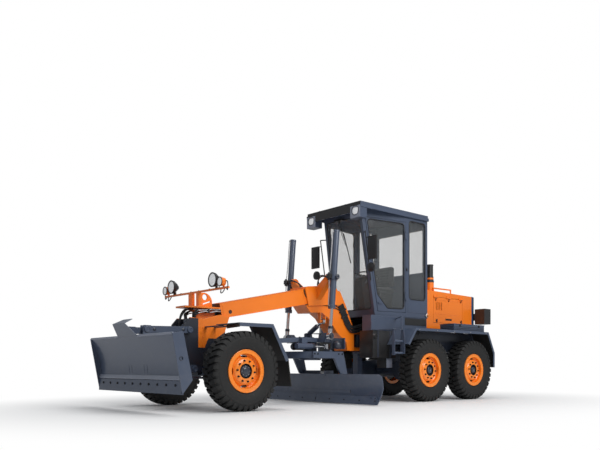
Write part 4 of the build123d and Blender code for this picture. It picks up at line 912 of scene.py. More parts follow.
class Patterns:
    """The trees that the sub-assemblies share."""

    def __init__(self) -> None:
        """Builds the trees."""
        self.ring = self._ring()
        self.row = self._row()
        self.studs = self._studs()
        self.sweep = self._sweep()

    @staticmethod
    def _ring() -> Tree:
        """Copies a pattern piece round an axis across the machine."""
        tree = Tree("Ring of pieces", {
            "Pattern": "NodeSocketObject", "Count": "NodeSocketInt", "Start": "NodeSocketFloat",
            "Centre": "NodeSocketVector"})
        points = tree.node("GeometryNodePoints", None, {"Count": tree.given["Count"]})
        index = tree.node("GeometryNodeInputIndex")
        share = tree.node(
            "ShaderNodeMath", {"operation": "DIVIDE"}, {0: index.outputs[0], 1: tree.given["Count"]})
        turn = tree.node("ShaderNodeMath", {"operation": "MULTIPLY_ADD"}, {
            0: share.outputs[0], 1: 2.0 * math.pi, 2: tree.given["Start"]})
        rotation = tree.node("ShaderNodeCombineXYZ", None, {"Y": turn.outputs[0]})
        copies = tree.copies(points.outputs[0], {"Rotation": rotation.outputs[0]})
        placed = tree.node(
            "GeometryNodeTransform", None, {"Geometry": copies, "Translation": tree.given["Centre"]})
        return tree.end(placed.outputs[0])

    @staticmethod
    def _row() -> Tree:
        """Copies a pattern piece along a straight step."""
        tree = Tree("Row of pieces", {
            "Pattern": "NodeSocketObject", "Count": "NodeSocketInt", "Step": "NodeSocketVector"})
        line = tree.node(
            "GeometryNodeMeshLine", None, {"Count": tree.given["Count"], "Offset": tree.given["Step"]})
        return tree.end(tree.copies(line.outputs[0]))

    @staticmethod
    def _studs() -> Tree:
        """Sets a fastener on each point, facing the way the point says."""
        tree = Tree("Fasteners", {"Pattern": "NodeSocketObject", "Size": "NodeSocketFloat"})
        facing = tree.node(
            "GeometryNodeInputNamedAttribute", {"data_type": "FLOAT_VECTOR"}, {"Name": "facing"})
        turned = tree.node("FunctionNodeAlignRotationToVector", {"axis": "Z"}, {"Vector": facing.outputs[0]})
        return tree.end(tree.copies(
            tree.given["Geometry"], {"Rotation": turned.outputs[0], "Scale": tree.given["Size"]}))

    @staticmethod
    def _sweep() -> Tree:
        """Draws a round tube along each route, smoothly through its points."""
        tree = Tree("Round tube", {"Radius": "NodeSocketFloat", "Smooth": "NodeSocketBool"})
        route = tree.node("GeometryNodeMeshToCurve", None, {0: tree.given["Geometry"]})
        curved = tree.node(
            "GeometryNodeCurveSplineType", {"spline_type": "CATMULL_ROM"}, {0: route.outputs[0]})
        fine = tree.node("GeometryNodeSetSplineResolution", None, {0: curved.outputs[0], "Resolution": 8})
        chosen = tree.node("GeometryNodeSwitch", {"input_type": "GEOMETRY"}, {
            "Switch": tree.given["Smooth"], "False": route.outputs[0], "True": fine.outputs[0]})
        ring = tree.node(
            "GeometryNodeCurvePrimitiveCircle", None, {"Resolution": 10, "Radius": tree.given["Radius"]})
        skin = tree.node("GeometryNodeCurveToMesh", None, {
            "Curve": chosen.outputs[0], "Profile Curve": ring.outputs[0], "Fill Caps": True})
        return tree.end(tree.node("GeometryNodeSetShadeSmooth", None, {0: skin.outputs[0]}).outputs[0])

    @staticmethod
    def _copied(
            tree: Tree, name: str, pattern: Shape, source: bpy.types.Mesh, body: str, finish: Finish,
            values: dict[str, object]) -> Item:
        """Grows a tree that copies a shape, and removes the shape once it is copied.

        Args:
            tree: The tree.
            name: Piece's name.
            pattern: Shape that is copied.
            source: Mesh that the tree starts from.
            body: Body that the piece rides on, or nothing.
            finish: Its finish.
            values: Values of the other named inputs.

        Returns:
            The piece.
        """
        draft = pattern.draft(name + "_pattern")
        item = tree.grow(name, source, finish, {"Pattern": draft, **values}, body)
        bpy.data.objects.remove(draft)
        return item

    def ring_of(
            self, name: str, pattern: Shape, count: int, start: float, centre: Vector, body: str,
            finish: Finish) -> Item:
        """Makes a ring of copies of a shape about an axis across the machine."""
        return self._copied(self.ring, name, pattern, points_mesh(), body, finish, {
            "Count": count, "Start": start, "Centre": centre})

    def row_of(self, name: str, pattern: Shape, count: int, step: Vector, body: str, finish: Finish) -> Item:
        """Makes a straight row of copies of a shape."""
        return self._copied(
            self.row, name, pattern, points_mesh(), body, finish, {"Count": count, "Step": step})

    def bolts(
            self, name: str, places: Sequence[Vector], facing: Vector | Sequence[Vector], size: float,
            body: str, finish: Finish) -> Item:
        """Sets a hexagon bolt on each place.

        Args:
            name: Piece's name.
            places: Points on the surface.
            facing: Direction of all heads, or one for each.
            size: Width of a head in metres.
            body: Body that the piece rides on.
            finish: Its finish.

        Returns:
            The piece.
        """
        facings = [facing] * len(places) if isinstance(facing, Vector) else list(facing)
        head = Shape().lathe(
            Vector(), UP, [(0, -0.2), (0.5, -0.2), (0.58, 0.0), (0.58, 0.26), (0.5, 0.36), (0, 0.36)], 6)
        return self._copied(
            self.studs, name, head, points_mesh(places, facings), body, finish, {"Size": size})

    def side_bolts(self, name: str, places: Sequence[Point], size: float, body: str, finish: Finish) -> Item:
        """Sets a bolt that faces outwards on each place, on the left and on the right."""
        facings = [side(hand) for hand in HANDS for _ in places]
        return self.bolts(name, paired(places), facings, size, body, finish)

    def tubes(
            self, name: str, paths: Sequence[Sequence[Vector]], radius: float, body: str, finish: Finish,
            smooth: bool = True, closed: bool = False) -> Item:
        """Draws round tubes along routes on one body."""
        return self.sweep.grow(
            name, path_mesh(paths, closed), finish, {"Radius": radius, "Smooth": smooth}, body)

    def blended_tubes(
            self, name: str, paths: Sequence[Sequence[Vector]], radius: float, finish: Finish, start: Vector,
            end: Vector) -> Item:
        """Draws round tubes that cross the frame hinge.

        Args:
            name: Piece's name.
            paths: Routes.
            radius: Tube's radius.
            finish: Its finish.
            start: Not used.
            end: Not used.

        Returns:
            The piece.
        """
        item = self.sweep.grow(name, path_mesh(paths), finish, {"Radius": radius, "Smooth": True})
        item.data.materials.clear()
        item.data.materials.append(finish.material())
        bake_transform(item)
        LOG.info("made %s across the hinge", item.name)
        return item


def softened(outline: Outline, radius: float, steps: int = 5) -> list[Pair]:
    """Rounds the corners of a closed flat outline.

    Args:
        outline: Corners.
        radius: Radius of each corner.
        steps: Edges of each arc.

    Returns:
        The rounded outline.
    """
    result: list[Pair] = []
    count = len(outline)
    for place, corner in enumerate(outline):
        here = Vector(corner)
        before = (Vector(outline[place - 1]) - here).normalized()
        after = (Vector(outline[(place + 1) % count]) - here).normalized()
        half = before.angle(after) / 2.0
        centre = here + (before + after).normalized() * (radius / math.sin(half))
        first = here + before * (radius / math.tan(half)) - centre
        last = here + after * (radius / math.tan(half)) - centre
        for step in range(steps + 1):
            spoke = first.lerp(last, step / steps).normalized() * radius
            result.append(tuple(centre + spoke))
    return result


@dataclass(frozen=True)
class WheelPlace:
    """One wheel's name, centre and side."""

    name: str
    centre: Vector
    hand: int

    @property
    def body(self) -> str:
        """Gives the body that turns with the wheel."""
        return f"wheel_{self.name}"

    @property
    def axis(self) -> Vector:
        """Gives the direction out of the wheel's disc."""
        return side(self.hand)

    def turned(self, piece: str, profile: Outline, steps: int, finish: Finish, out: float = 0.0) -> None:
        """Turns a piece about the wheel's axis.

        Args:
            piece: Start of the piece's name.
            profile: Its outline, as radii and distances out.
            steps: Flats round the axis.
            finish: Its finish.
            out: How far out the profile's zero lies.
        """
        Shape().lathe(self.centre + self.axis * out, self.axis, profile, steps).piece(
            f"{piece}_{self.name}", self.body, finish)


@dataclass
class Wheels:
    """Tyres with their tread, discs, hub caps and wheel nuts."""

    patterns: Patterns
    lug_count: int = 35
    lug_half: float = 0.031
    lug_draft: float = 0.003
    rows: Sequence[Sequence[float]] = (
        (0.004, 0.5565, 0.004, 0.53, 0.0), (0.055, 0.557, 0.055, 0.53, 0.012),
        (0.105, 0.556, 0.105, 0.53, 0.028), (0.134, 0.55, 0.122, 0.528, 0.036),
        (0.149, 0.53, 0.134, 0.516, 0.037), (0.1545, 0.5, 0.143, 0.498, 0.037),
        (0.1549, 0.478, 0.148, 0.478, 0.037))
    wall: Outline = (
        (0.1097, 0.2635), (0.1097, 0.299), (0.1125, 0.305), (0.118, 0.309), (0.125, 0.319),
        (0.127, 0.323), (0.139, 0.35), (0.15, 0.39), (0.1545, 0.43), (0.1535, 0.448),
        (0.1545, 0.452), (0.1545, 0.458), (0.1525, 0.462), (0.1485, 0.485), (0.143, 0.505),
        (0.134, 0.522), (0.12, 0.531), (0.06, 0.533))
    dome: Outline = (
        (0.1035, 0.08), (0.186, 0.08), (0.186, 0.085), (0.178, 0.096), (0.16, 0.106),
        (0.13, 0.112), (0.112, 0.115), (0.106, 0.114), (0.1035, 0.11))
    recess: Outline = (
        (0.08, 0.047), (0.0985, 0.047), (0.1035, 0.084), (0.1036, 0.108), (0.1, 0.108), (0.094, 0.054),
        (0.08, 0.052))
    drum: Outline = (
        (0.1, -0.04), (0.205, -0.04), (0.216, -0.03), (0.216, 0.018), (0.205, 0.024), (0.1, 0.024))
    bead: Outline = (
        (0.289, 0.1215), (0.296, 0.1215), (0.3, 0.1225), (0.3, 0.1255), (0.296, 0.1275),
        (0.29, 0.1255))
    cap: Outline = (
        (0, -0.001), (0.083, -0.001), (0.083, 0.05), (0.077, 0.058), (0.06, 0.06), (0.054, 0.068),
        (0.036, 0.075), (0, 0.077))
    nose: Outline = (
        (0, -0.001), (0.08, -0.001), (0.08, 0.012), (0.062, 0.016), (0.061, 0.05), (0.056, 0.062),
        (0.048, 0.068), (0, 0.07))
    nut: Outline = (
        (0, -0.001), (0.0145, -0.001), (0.0145, 0.013), (0.012, 0.018), (0.008, 0.018), (0.008, 0.03),
        (0, 0.032))
    nut_circle: float = 0.146
    nut_seat: float = 0.108
    nut_count: int = 10
    hub_seat: float = 0.048

    def build(self) -> None:
        """Builds all six wheels' pieces."""
        for row, station in (("front", FRONT_AXLE), ("mid", TANDEM_HALF_BASE), ("rear", -TANDEM_HALF_BASE)):
            for hand, name in HANDS.items():
                wheel = WheelPlace(f"{row}_{name}", at(station, hand * WHEEL_Y, TYRE_RADIUS), hand)
                self._carcass(wheel)
                self._tread(wheel)
                self._nuts(wheel)
                wheel.turned("disc_dome", self.dome, 48, ORANGE_RIM)
                wheel.turned("hub_recess", self.recess, 48, BLACK)
                wheel.turned("brake_drum", self.drum, 36, BLACK)
                wheel.turned("rim_bead", self.bead, 64, ORANGE_RIM)
                if row == "front":
                    self._front_cap(wheel)
                else:
                    self._hub_nose(wheel)

    def _carcass(self, wheel: WheelPlace) -> None:
        """Turns the carcass from bead to bead.

        Args:
            wheel: The wheel.
        """
        half = [(radius, y) for y, radius in self.wall]
        profile = half + [(radius, -y) for radius, y in half[::-1]]
        Shape().lathe(wheel.centre, side(1), profile, 72).piece(
            f"tyre_carcass_{wheel.name}", wheel.body, TYRE, replaces=f"tyre_{wheel.name}", angle=50.0)

    def _tread(self, wheel: WheelPlace) -> None:
        """Sets the two rows of lugs round the tread, half a pitch apart.

        Args:
            wheel: The wheel.
        """
        pattern = Shape()
        draft = self.lug_draft / TYRE_RADIUS
        for hand in HANDS:
            turn_from = 0.0 if hand > 0 else math.pi / self.lug_count
            rings = []
            for y_out, r_out, y_in, r_in, shift in self.rows:
                low, high = (shift - self.lug_half) / TYRE_RADIUS, (shift + self.lug_half) / TYRE_RADIUS
                corners = [
                    (r_in, y_in, low - draft), (r_out, y_out, low), (r_out, y_out, high),
                    (r_in, y_in, high + draft)]
                rings.append([
                    Vector((r * math.sin(turn + turn_from), hand * y, -r * math.cos(turn + turn_from)))
                    for r, y, turn in corners])
            pattern.skin(rings)
        self.patterns.ring_of(
            f"tread_{wheel.name}", pattern, self.lug_count, 0.0, wheel.centre, wheel.body, TYRE)

    def _nuts(self, wheel: WheelPlace) -> None:
        """Sets the wheel nuts round the hub and the valve by a hand hole.

        Args:
            wheel: The wheel.
        """
        nut = Shape().lathe(
            Vector((0, wheel.hand * self.nut_seat, -self.nut_circle)), wheel.axis, self.nut, 6)
        self.patterns.ring_of(
            f"wheel_nuts_{wheel.name}", nut, self.nut_count, 0.2, wheel.centre, wheel.body, DARK_STEEL)
        foot = wheel.centre + Vector((0.15, wheel.hand * 0.058, 0.186))
        Shape().rod(foot, foot + Vector((0.006, wheel.hand * 0.044, 0.008)), 0.0052, 10).piece(
            f"valve_{wheel.name}", wheel.body, BLACK_PLASTIC)

    def _front_cap(self, wheel: WheelPlace) -> None:
        """Makes the slate hub cap in the front wheel's recess, with its rim of screws.

        Args:
            wheel: The wheel.
        """
        wheel.turned("hub_cap", self.cap, 40, SLATE_SHADED, self.hub_seat)
        screw = Shape().lathe(wheel.axis * 0.107 + Vector((0, 0, -0.068)), wheel.axis, [
            (0, 0), (0.0062, 0), (0.0062, 0.005), (0, 0.006)], 6)
        self.patterns.ring_of(f"cap_screws_{wheel.name}", screw, 8, 0.0, wheel.centre, wheel.body, STEEL)

    def _hub_nose(self, wheel: WheelPlace) -> None:
        """Makes the dark planetary hub nose in the tandem wheel's recess.

        Args:
            wheel: The wheel.
        """
        wheel.turned("hub_nose", self.nose, 40, SLATE_SHADED, self.hub_seat)
        screw = Shape().lathe(wheel.axis * 0.06 + Vector((0, 0, -0.071)), wheel.axis, [
            (0, 0), (0.007, 0), (0.007, 0.007), (0, 0.008)], 6)
        self.patterns.ring_of(
            f"hub_screws_{wheel.name}", screw, 10, 0.1, wheel.centre, wheel.body, DARK_STEEL)
        wheel.turned(
            "hub_plug", [(0, 0.069), (0.012, 0.069), (0.012, 0.074), (0, 0.075)], 6, STEEL, self.hub_seat)


@dataclass
class CabShell:
    """Gaskets, lamps, wiper, panels and fittings on the outside of the cab."""

    patterns: Patterns
    floor: float = 1.52
    front_low: float = 1.432
    lean: float = 0.1655
    half: float = 0.65
    pillar: float = 0.742
    slant: float = math.radians(10.0)
    eaves: float = 3.33
    corner: float = 0.065
    gasket: float = 0.0095
    lamp: Pair = (0.566, 3.29)
    lamp_half: float = 0.1155
    reflector: float = 0.085
    mirror: Pair = (0.73, 2.6675)

    def station_at(self, z: float) -> float:
        """Gives the station of the leaning front face at a height."""
        return self.front_low + (z - self.floor) * self.lean

    def half_at(self, station: float) -> float:
        """Gives half the cab's width at a station."""
        return self.half - max(0.0, station - self.pillar) * math.tan(self.slant)

    def build(self) -> None:
        """Builds the cab's outer pieces."""
        self._gaskets()
        self._roof()
        self._wiper()
        self._fittings()
        self._mirrors()

    def _gaskets(self) -> None:
        """Lays the black rubber round every pane."""
        low, high = self.floor + 0.144, self.eaves - 0.08 - 0.034
        door = softened([
            (0.781, low), (1.158, low), (1.379, low + 0.243), (self.station_at(high) - 0.111, high),
            (0.781, high)], self.corner)
        window = softened([(0.19, 1.85), (0.652, 1.85), (0.652, 3.285), (0.19, 3.285)], self.corner)
        screen_low, screen_high = 1.645, self.eaves - 0.08
        reach = [self.half_at(self.station_at(z)) - 0.062 for z in (screen_low, screen_high)]
        screen = softened([
            (-reach[0], screen_low), (reach[0], screen_low), (reach[1], screen_high),
            (-reach[1], screen_high)], self.corner)
        rear = [(-0.575, 2.39), (0.575, 2.39), (0.575, 3.2), (-0.575, 3.2)]
        loops = [
            [at(self.station_at(z) - 0.004, y, z) for y, z in screen], [at(0.128, y, z) for y, z in rear]]
        for hand, name in HANDS.items():
            loops.append([at(station, hand * (self.half - 0.002), z) for station, z in window])
            path = [at(station, hand * (self.half_at(station) - 0.002), z) for station, z in door]
            self.patterns.tubes(f"door_gasket_{name}", [path], self.gasket, f"door_{name}", HOSE, False, True)
        self.patterns.tubes("window_gaskets", loops, self.gasket, Body.REAR, HOSE, False, True)

    def _roof(self) -> None:
        """Makes the visor's black face, the lamp box faces, the roof lamps and the visor's clips."""
        for name, bevel, station, half, low, high in (
                ("visor_face", 0.002, (1.9655, 1.972), 0.449, 3.271, 3.394),
                ("roof_front_strip", 0.001, (1.9535, 1.957), 0.6775, 3.3945, 3.4385),
                ("roof_front_lip", 0.001, (1.9655, 1.97), 0.69, 3.37, 3.3945)):
            Shape().slab(1, station, (-half, half), (low, high)).piece(name, Body.REAR, BLACK, bevel)
        faces, bowls, glass, clips = Shape(), Shape(), Shape(), Shape()
        low, high = 3.1665, 3.369
        for hand in HANDS:
            y_lamp, z_lamp = hand * self.lamp[0], self.lamp[1]
            centre = at(1.966, y_lamp, z_lamp)
            near, far = y_lamp + self.lamp_half, y_lamp - self.lamp_half
            rim = softened([(near, low), (near, high), (far, high), (far, low)], 0.006, 8)
            angles = [math.atan2(z - z_lamp, y - y_lamp) for y, z in rim]
            inner = [
                (y_lamp + self.reflector * math.cos(angle), z_lamp + self.reflector * math.sin(angle))
                for angle in angles]
            faces.skin([[at(station, y, z) for y, z in ring] for station, ring in (
                (1.9705, rim), (1.9705, inner), (1.9655, inner), (1.9655, rim))], looped=True)
            bowls.lathe(centre, AHEAD, [
                (0.07, -0.029), (0.0835, -0.029), (0.0845, 0.006), (0.078, 0.008), (0.072, 0.0)], 40)
            glass.lathe(centre, AHEAD, [
                (0, -0.029), (0.0715, -0.029), (0.0715, -0.004), (0.058, 0.001), (0.03, 0.005),
                (0, 0.006)], 40)
            clip = at(1.962, hand * 0.33, 3.4275)
            clips.rod(clip - AHEAD * 0.02, clip + AHEAD * 0.02, 0.01)
        faces.piece("lamp_box_faces", Body.REAR, LAMP_GREY)
        bowls.piece("roof_lamp_rings", Body.REAR, BLACK_PLASTIC)
        glass.piece("roof_lamp_glass", Body.REAR, LENS)
        clips.piece("visor_clips", Body.REAR, SLATE_SHADED)

    def _on_screen(self, y: float, z: float, out: float) -> Vector:
        """Gives a point a little in front of the windscreen."""
        return at(self.station_at(z) - 0.006 + out, y, z)

    def _wiper(self) -> None:
        """Hangs the wiper from the header over the windscreen."""
        motor = Shape().slab(1, (1.735, 1.79), (-0.15, 0.06), (3.235, 3.268))
        motor.rod(at(1.735, -0.045, 3.215), at(1.775, -0.045, 3.222), 0.02)
        motor.piece("wiper_motor", Body.REAR, BLACK_PLASTIC, 0.004)
        arms = [[self._on_screen(*place) for place in path] for path in (
            ((-0.045, 3.215, 0.045), (-0.02, 3.1, 0.04), (0.06, 2.76, 0.026)),
            ((-0.075, 3.215, 0.045), (-0.055, 3.1, 0.04), (0.03, 2.8, 0.026)))]
        self.patterns.tubes("wiper_arms", arms, 0.0055, Body.REAR, BLACK_PLASTIC)
        blade = [self._on_screen(y, z, 0.016) for y, z in ((0.0, 3.02), (0.048, 2.76), (0.096, 2.48))]
        self.patterns.tubes("wiper_blade", [blade], 0.0085, Body.REAR, HOSE)

    def _fittings(self) -> None:
        """Adds the corner lamps, the door stays, the side panels and black sheets of painted shadow on the
        platform's skirt.
        """
        lamps, bases, panels, shade, stays = Shape(), Shape(), Shape(), Shape(), Shape()
        panel = softened([(0.185, 1.61), (0.69, 1.61), (0.69, 1.79), (0.185, 1.79)], 0.02)
        for hand in HANDS:
            bases.boss(hand, (0.156, 0.6655, 1.575), [
                (0, -0.001), (0.036, -0.001), (0.036, 0.01), (0.031, 0.016), (0, 0.016)], 28)
            lamps.boss(hand, (0.156, 0.6805, 1.575), [
                (0, 0), (0.029, 0), (0.029, 0.012), (0.022, 0.024), (0.01, 0.029), (0, 0.03)], 28)
            panels.prism(
                [at(station, hand * (self.half - 0.002), z) for station, z in panel], side(hand) * 0.005)
            # Painted shadow: a thin black sheet over the platform's skirt where it lies in shadow.
            shade.slab(hand, (0.15, 0.76), (0.6395, 0.6435), (1.376, 1.504))
            stays.slab(hand, (0.712, 0.738), (self.half - 0.003, self.half + 0.017), (2.36, 2.41))
        bases.piece("corner_lamp_bases", Body.REAR, WHITE_PLASTIC)
        lamps.piece("corner_lamp_glass", Body.REAR, AMBER)
        panels.piece("cab_side_panels", Body.REAR, SLATE, 0.002)
        shade.piece("platform_panels", Body.REAR, BLACK, 0.001)
        stays.piece("door_stays", Body.REAR, BLACK_PLASTIC, 0.003)

    def _mirror_ring(self, hand: int, half: Pair, corner: float) -> list[Pair]:
        """Gives an outline round a mirror's middle, as distances from the machine's middle and heights.

        Args:
            hand: 1 for the left mirror, -1 for the right.
            half: Half its width and half its height.
            corner: Radius of its corners.

        Returns:
            The outline.
        """
        near, far = hand * self.mirror[0] - half[0], hand * self.mirror[0] + half[0]
        low, high = self.mirror[1] - half[1], self.mirror[1] + half[1]
        return softened([(near, low), (far, low), (far, high), (near, high)], corner)

    def _mirrors(self) -> None:
        """Gives the mirrors their glass and rounded black backs."""
        backs, glass = Shape(), Shape()
        for hand in HANDS:
            rim = self._mirror_ring(hand, (0.099, 0.2015), 0.045)
            crown = self._mirror_ring(hand, (0.08, 0.1815), 0.035)
            backs.skin([[at(station, y, z) for y, z in ring] for station, ring in (
                (1.6945, rim), (1.722, rim), (1.732, crown))])
            inside = self._mirror_ring(hand, (0.088, 0.1895), 0.036)
            glass.prism([at(1.6925, y, z) for y, z in inside], AHEAD * 0.003)
            small = at(1.712, hand * 0.699, 2.33)
            backs.lathe(small, AHEAD, [
                (0, -0.016), (0.079, -0.016), (0.081, -0.008), (0.08, 0.008), (0.062, 0.022), (0.03, 0.03),
                (0, 0.032)], 36)
            glass.lathe(small, AHEAD, [(0, -0.019), (0.072, -0.019), (0.072, -0.015), (0, -0.015)], 36)
        backs.piece("mirror_backs", Body.REAR, BLACK_PLASTIC)
        glass.piece("mirror_glass", Body.REAR, MIRROR_GLASS)


@dataclass
class CabInside:
    """Seat, steering wheel and levers seen through the glass."""

    patterns: Patterns
    voxel: float = 0.006
    pressure: float = 4.0
    swell: float = 0.012
    frames: int = 12
    fill: float = 0.75
    wheel_hub: Point = (1.04, 0.0, 2.3)
    rim_radius: float = 0.188
    rim_tube: float = 0.0118
    rim_rise: float = 0.0125
    rim_steps: int = 14

    def build(self) -> None:
        """Builds the inner pieces."""
        cushion = self._cushion(
            "seat_cushion", [(0.572, 2.0), (1.008, 2.0), (1.008, 2.082), (0.572, 2.088)], 0.236, 0.03)
        backrest = self._cushion(
            "seat_backrest", [(0.535, 2.124), (0.688, 2.124), (0.66, 2.5), (0.556, 2.5)], 0.22, 0.04)
        for pad, groove in ((cushion, 0.0), (backrest, 0.007)):
            self._stuff(pad)
            if groove:
                self._channels(pad, groove)
            publish(pad, Body.REAR, CLOTH)
        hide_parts("seat_pads")
        edge = softened([(0.566, -0.242), (1.014, -0.242), (1.014, 0.242), (0.566, 0.242)], 0.04)
        self.patterns.tubes(
            "seat_piping", [[at(x, y, 2.043) for x, y in edge]], 0.005, Body.REAR, HOSE, False, True)
        self._steering()
        self._levers()

    def _cushion(self, name: str, outline: Outline, half: float, corner: float) -> Item:
        """Makes a cushion's start shape, crowned at both sides.

        Args:
            name: Piece's name.
            outline: Its section along the machine.
            half: Half its width.
            corner: Radius of the section's corners.

        Returns:
            The object, not yet on a body.
        """
        middle = Vector((
            sum(x for x, _ in outline) / len(outline), sum(z for _, z in outline) / len(outline)))
        rim = softened(outline, corner)
        rings = []
        for share, inset in (
                (-1.0, 0.78), (-0.97, 0.92), (-0.88, 1.0), (0.0, 1.0), (0.88, 1.0), (0.97, 0.92),
                (1.0, 0.78)):
            ring = [middle + (Vector(point) - middle) * inset for point in rim]
            rings.append([at(point.x, share * half, point.y) for point in ring])
        return Shape().skin(rings).draft(name, 80.0)

    def _stuff(self, pad: Item) -> None:
        """Swells a pad with cloth under pressure, held within a small distance of its start.

        Args:
            pad: The pad.
        """
        remesh = pad.modifiers.new("Even mesh", "REMESH")
        remesh.mode = "VOXEL"
        remesh.voxel_size = self.voxel
        self._settle(pad)
        start = [corner.co.copy() for corner in pad.data.vertices]
        cloth = pad.modifiers.new("Stuffing", "CLOTH")
        cloth.settings.use_pressure = True
        cloth.settings.uniform_pressure_force = self.pressure
        cloth.settings.effector_weights.gravity = 0.0
        cloth.settings.quality = 4
        cloth.point_cache.frame_start, cloth.point_cache.frame_end = 1, self.frames
        scene = bpy.context.scene
        for moment in range(1, self.frames + 1):
            scene.frame_set(moment)
        self._settle(pad)
        scene.frame_set(1)
        for corner, origin in zip(pad.data.vertices, start):
            travel = corner.co - origin
            if travel.length > self.swell:
                corner.co = origin + travel.normalized() * self.swell
        pad.data.polygons.foreach_set("use_smooth", [True] * len(pad.data.polygons))
        smooth = pad.modifiers.new("Finer mesh", "SUBSURF")
        smooth.levels = smooth.render_levels = 1
        self._settle(pad)

    @staticmethod
    def _settle(pad: Item) -> None:
        """Turns a pad's evaluated shape into its mesh and removes its modifiers."""
        pad.data = bpy.data.meshes.new_from_object(pad.evaluated_get(bpy.context.evaluated_depsgraph_get()))
        pad.modifiers.clear()

    def _channels(self, pad: Item, depth: float) -> None:
        """Sews level channels across a backrest's front."""
        low, high = 2.16, 2.47
        for corner in pad.data.vertices:
            z = corner.co.z
            if low < z < high and corner.normal.x > 0.3:
                wave = math.cos((z - low) / 0.052 * 2.0 * math.pi)
                corner.co.x -= depth * max(0.0, wave) ** 3

    def _steering(self) -> None:
        """Replaces the steering wheel with a rounded rim, spokes and a boss."""
        centre = at(*self.wheel_hub)
        axis = Vector((-0.3, 0.0, 0.954)).normalized()
        turns = [2 * math.pi * step / self.rim_steps for step in range(self.rim_steps)]
        rim = [
            (self.rim_radius + self.rim_tube * math.cos(turn), self.rim_rise + self.rim_tube * math.sin(turn))
            for turn in turns]
        wheel = Shape().lathe(centre, axis, rim, 48)
        wheel.lathe(
            centre, axis, [(0, 0.001), (0.046, 0.001), (0.05, 0.01), (0.044, 0.021), (0, 0.023)], 32)
        across, up = spin_frame(axis)
        for degrees in (90, 210, 330):
            turn = math.radians(degrees)
            out = across * math.cos(turn) + up * math.sin(turn)
            wheel.rod(centre + axis * 0.011 + out * 0.03, centre + axis * 0.0125 + out * 0.184, 0.0088, 12)
        wheel.piece("steering_wheel_rim", Body.REAR, BLACK_PLASTIC, replaces="steering_wheel", angle=60.0)

    def _levers(self) -> None:
        """Sets the row of blade levers beside the steering pod."""
        stalks, knobs = [], Shape()
        for hand in HANDS:
            for place in range(4):
                foot = at(1.13 + 0.034 * place, hand * 0.09, 2.18 - 0.01 * place)
                tip = at(1.08 + 0.036 * place, hand * (0.15 + 0.012 * place), 2.33 + 0.006 * place)
                stalks.append([foot, foot.lerp(tip, 0.5) + Vector((0.0, hand * 0.012, -0.01)), tip])
                knobs.lathe(tip, tip - foot, [
                    (0, -0.006), (0.009, -0.004), (0.013, 0.01), (0.01, 0.024), (0, 0.028)], 14)
        self.patterns.tubes("lever_stalks", stalks, 0.0042, Body.REAR, STEEL)
        knobs.piece("lever_knobs", Body.REAR, BLACK_PLASTIC)


def abreast(path: Sequence[Vector], offset: float) -> list[Vector]:
    """Shifts an upright path along the machine to one side, within its own upright plane.

    Args:
        path: Points.
        offset: Distance from the path, to its left as seen from the machine's left.

    Returns:
        The shifted path.
    """
    result = []
    for place, here in enumerate(path):
        run = path[min(place + 1, len(path) - 1)] - path[max(place - 1, 0)]
        out = Vector((run.z, 0.0, -run.x)).normalized()
        result.append(here + out * offset)
    return result


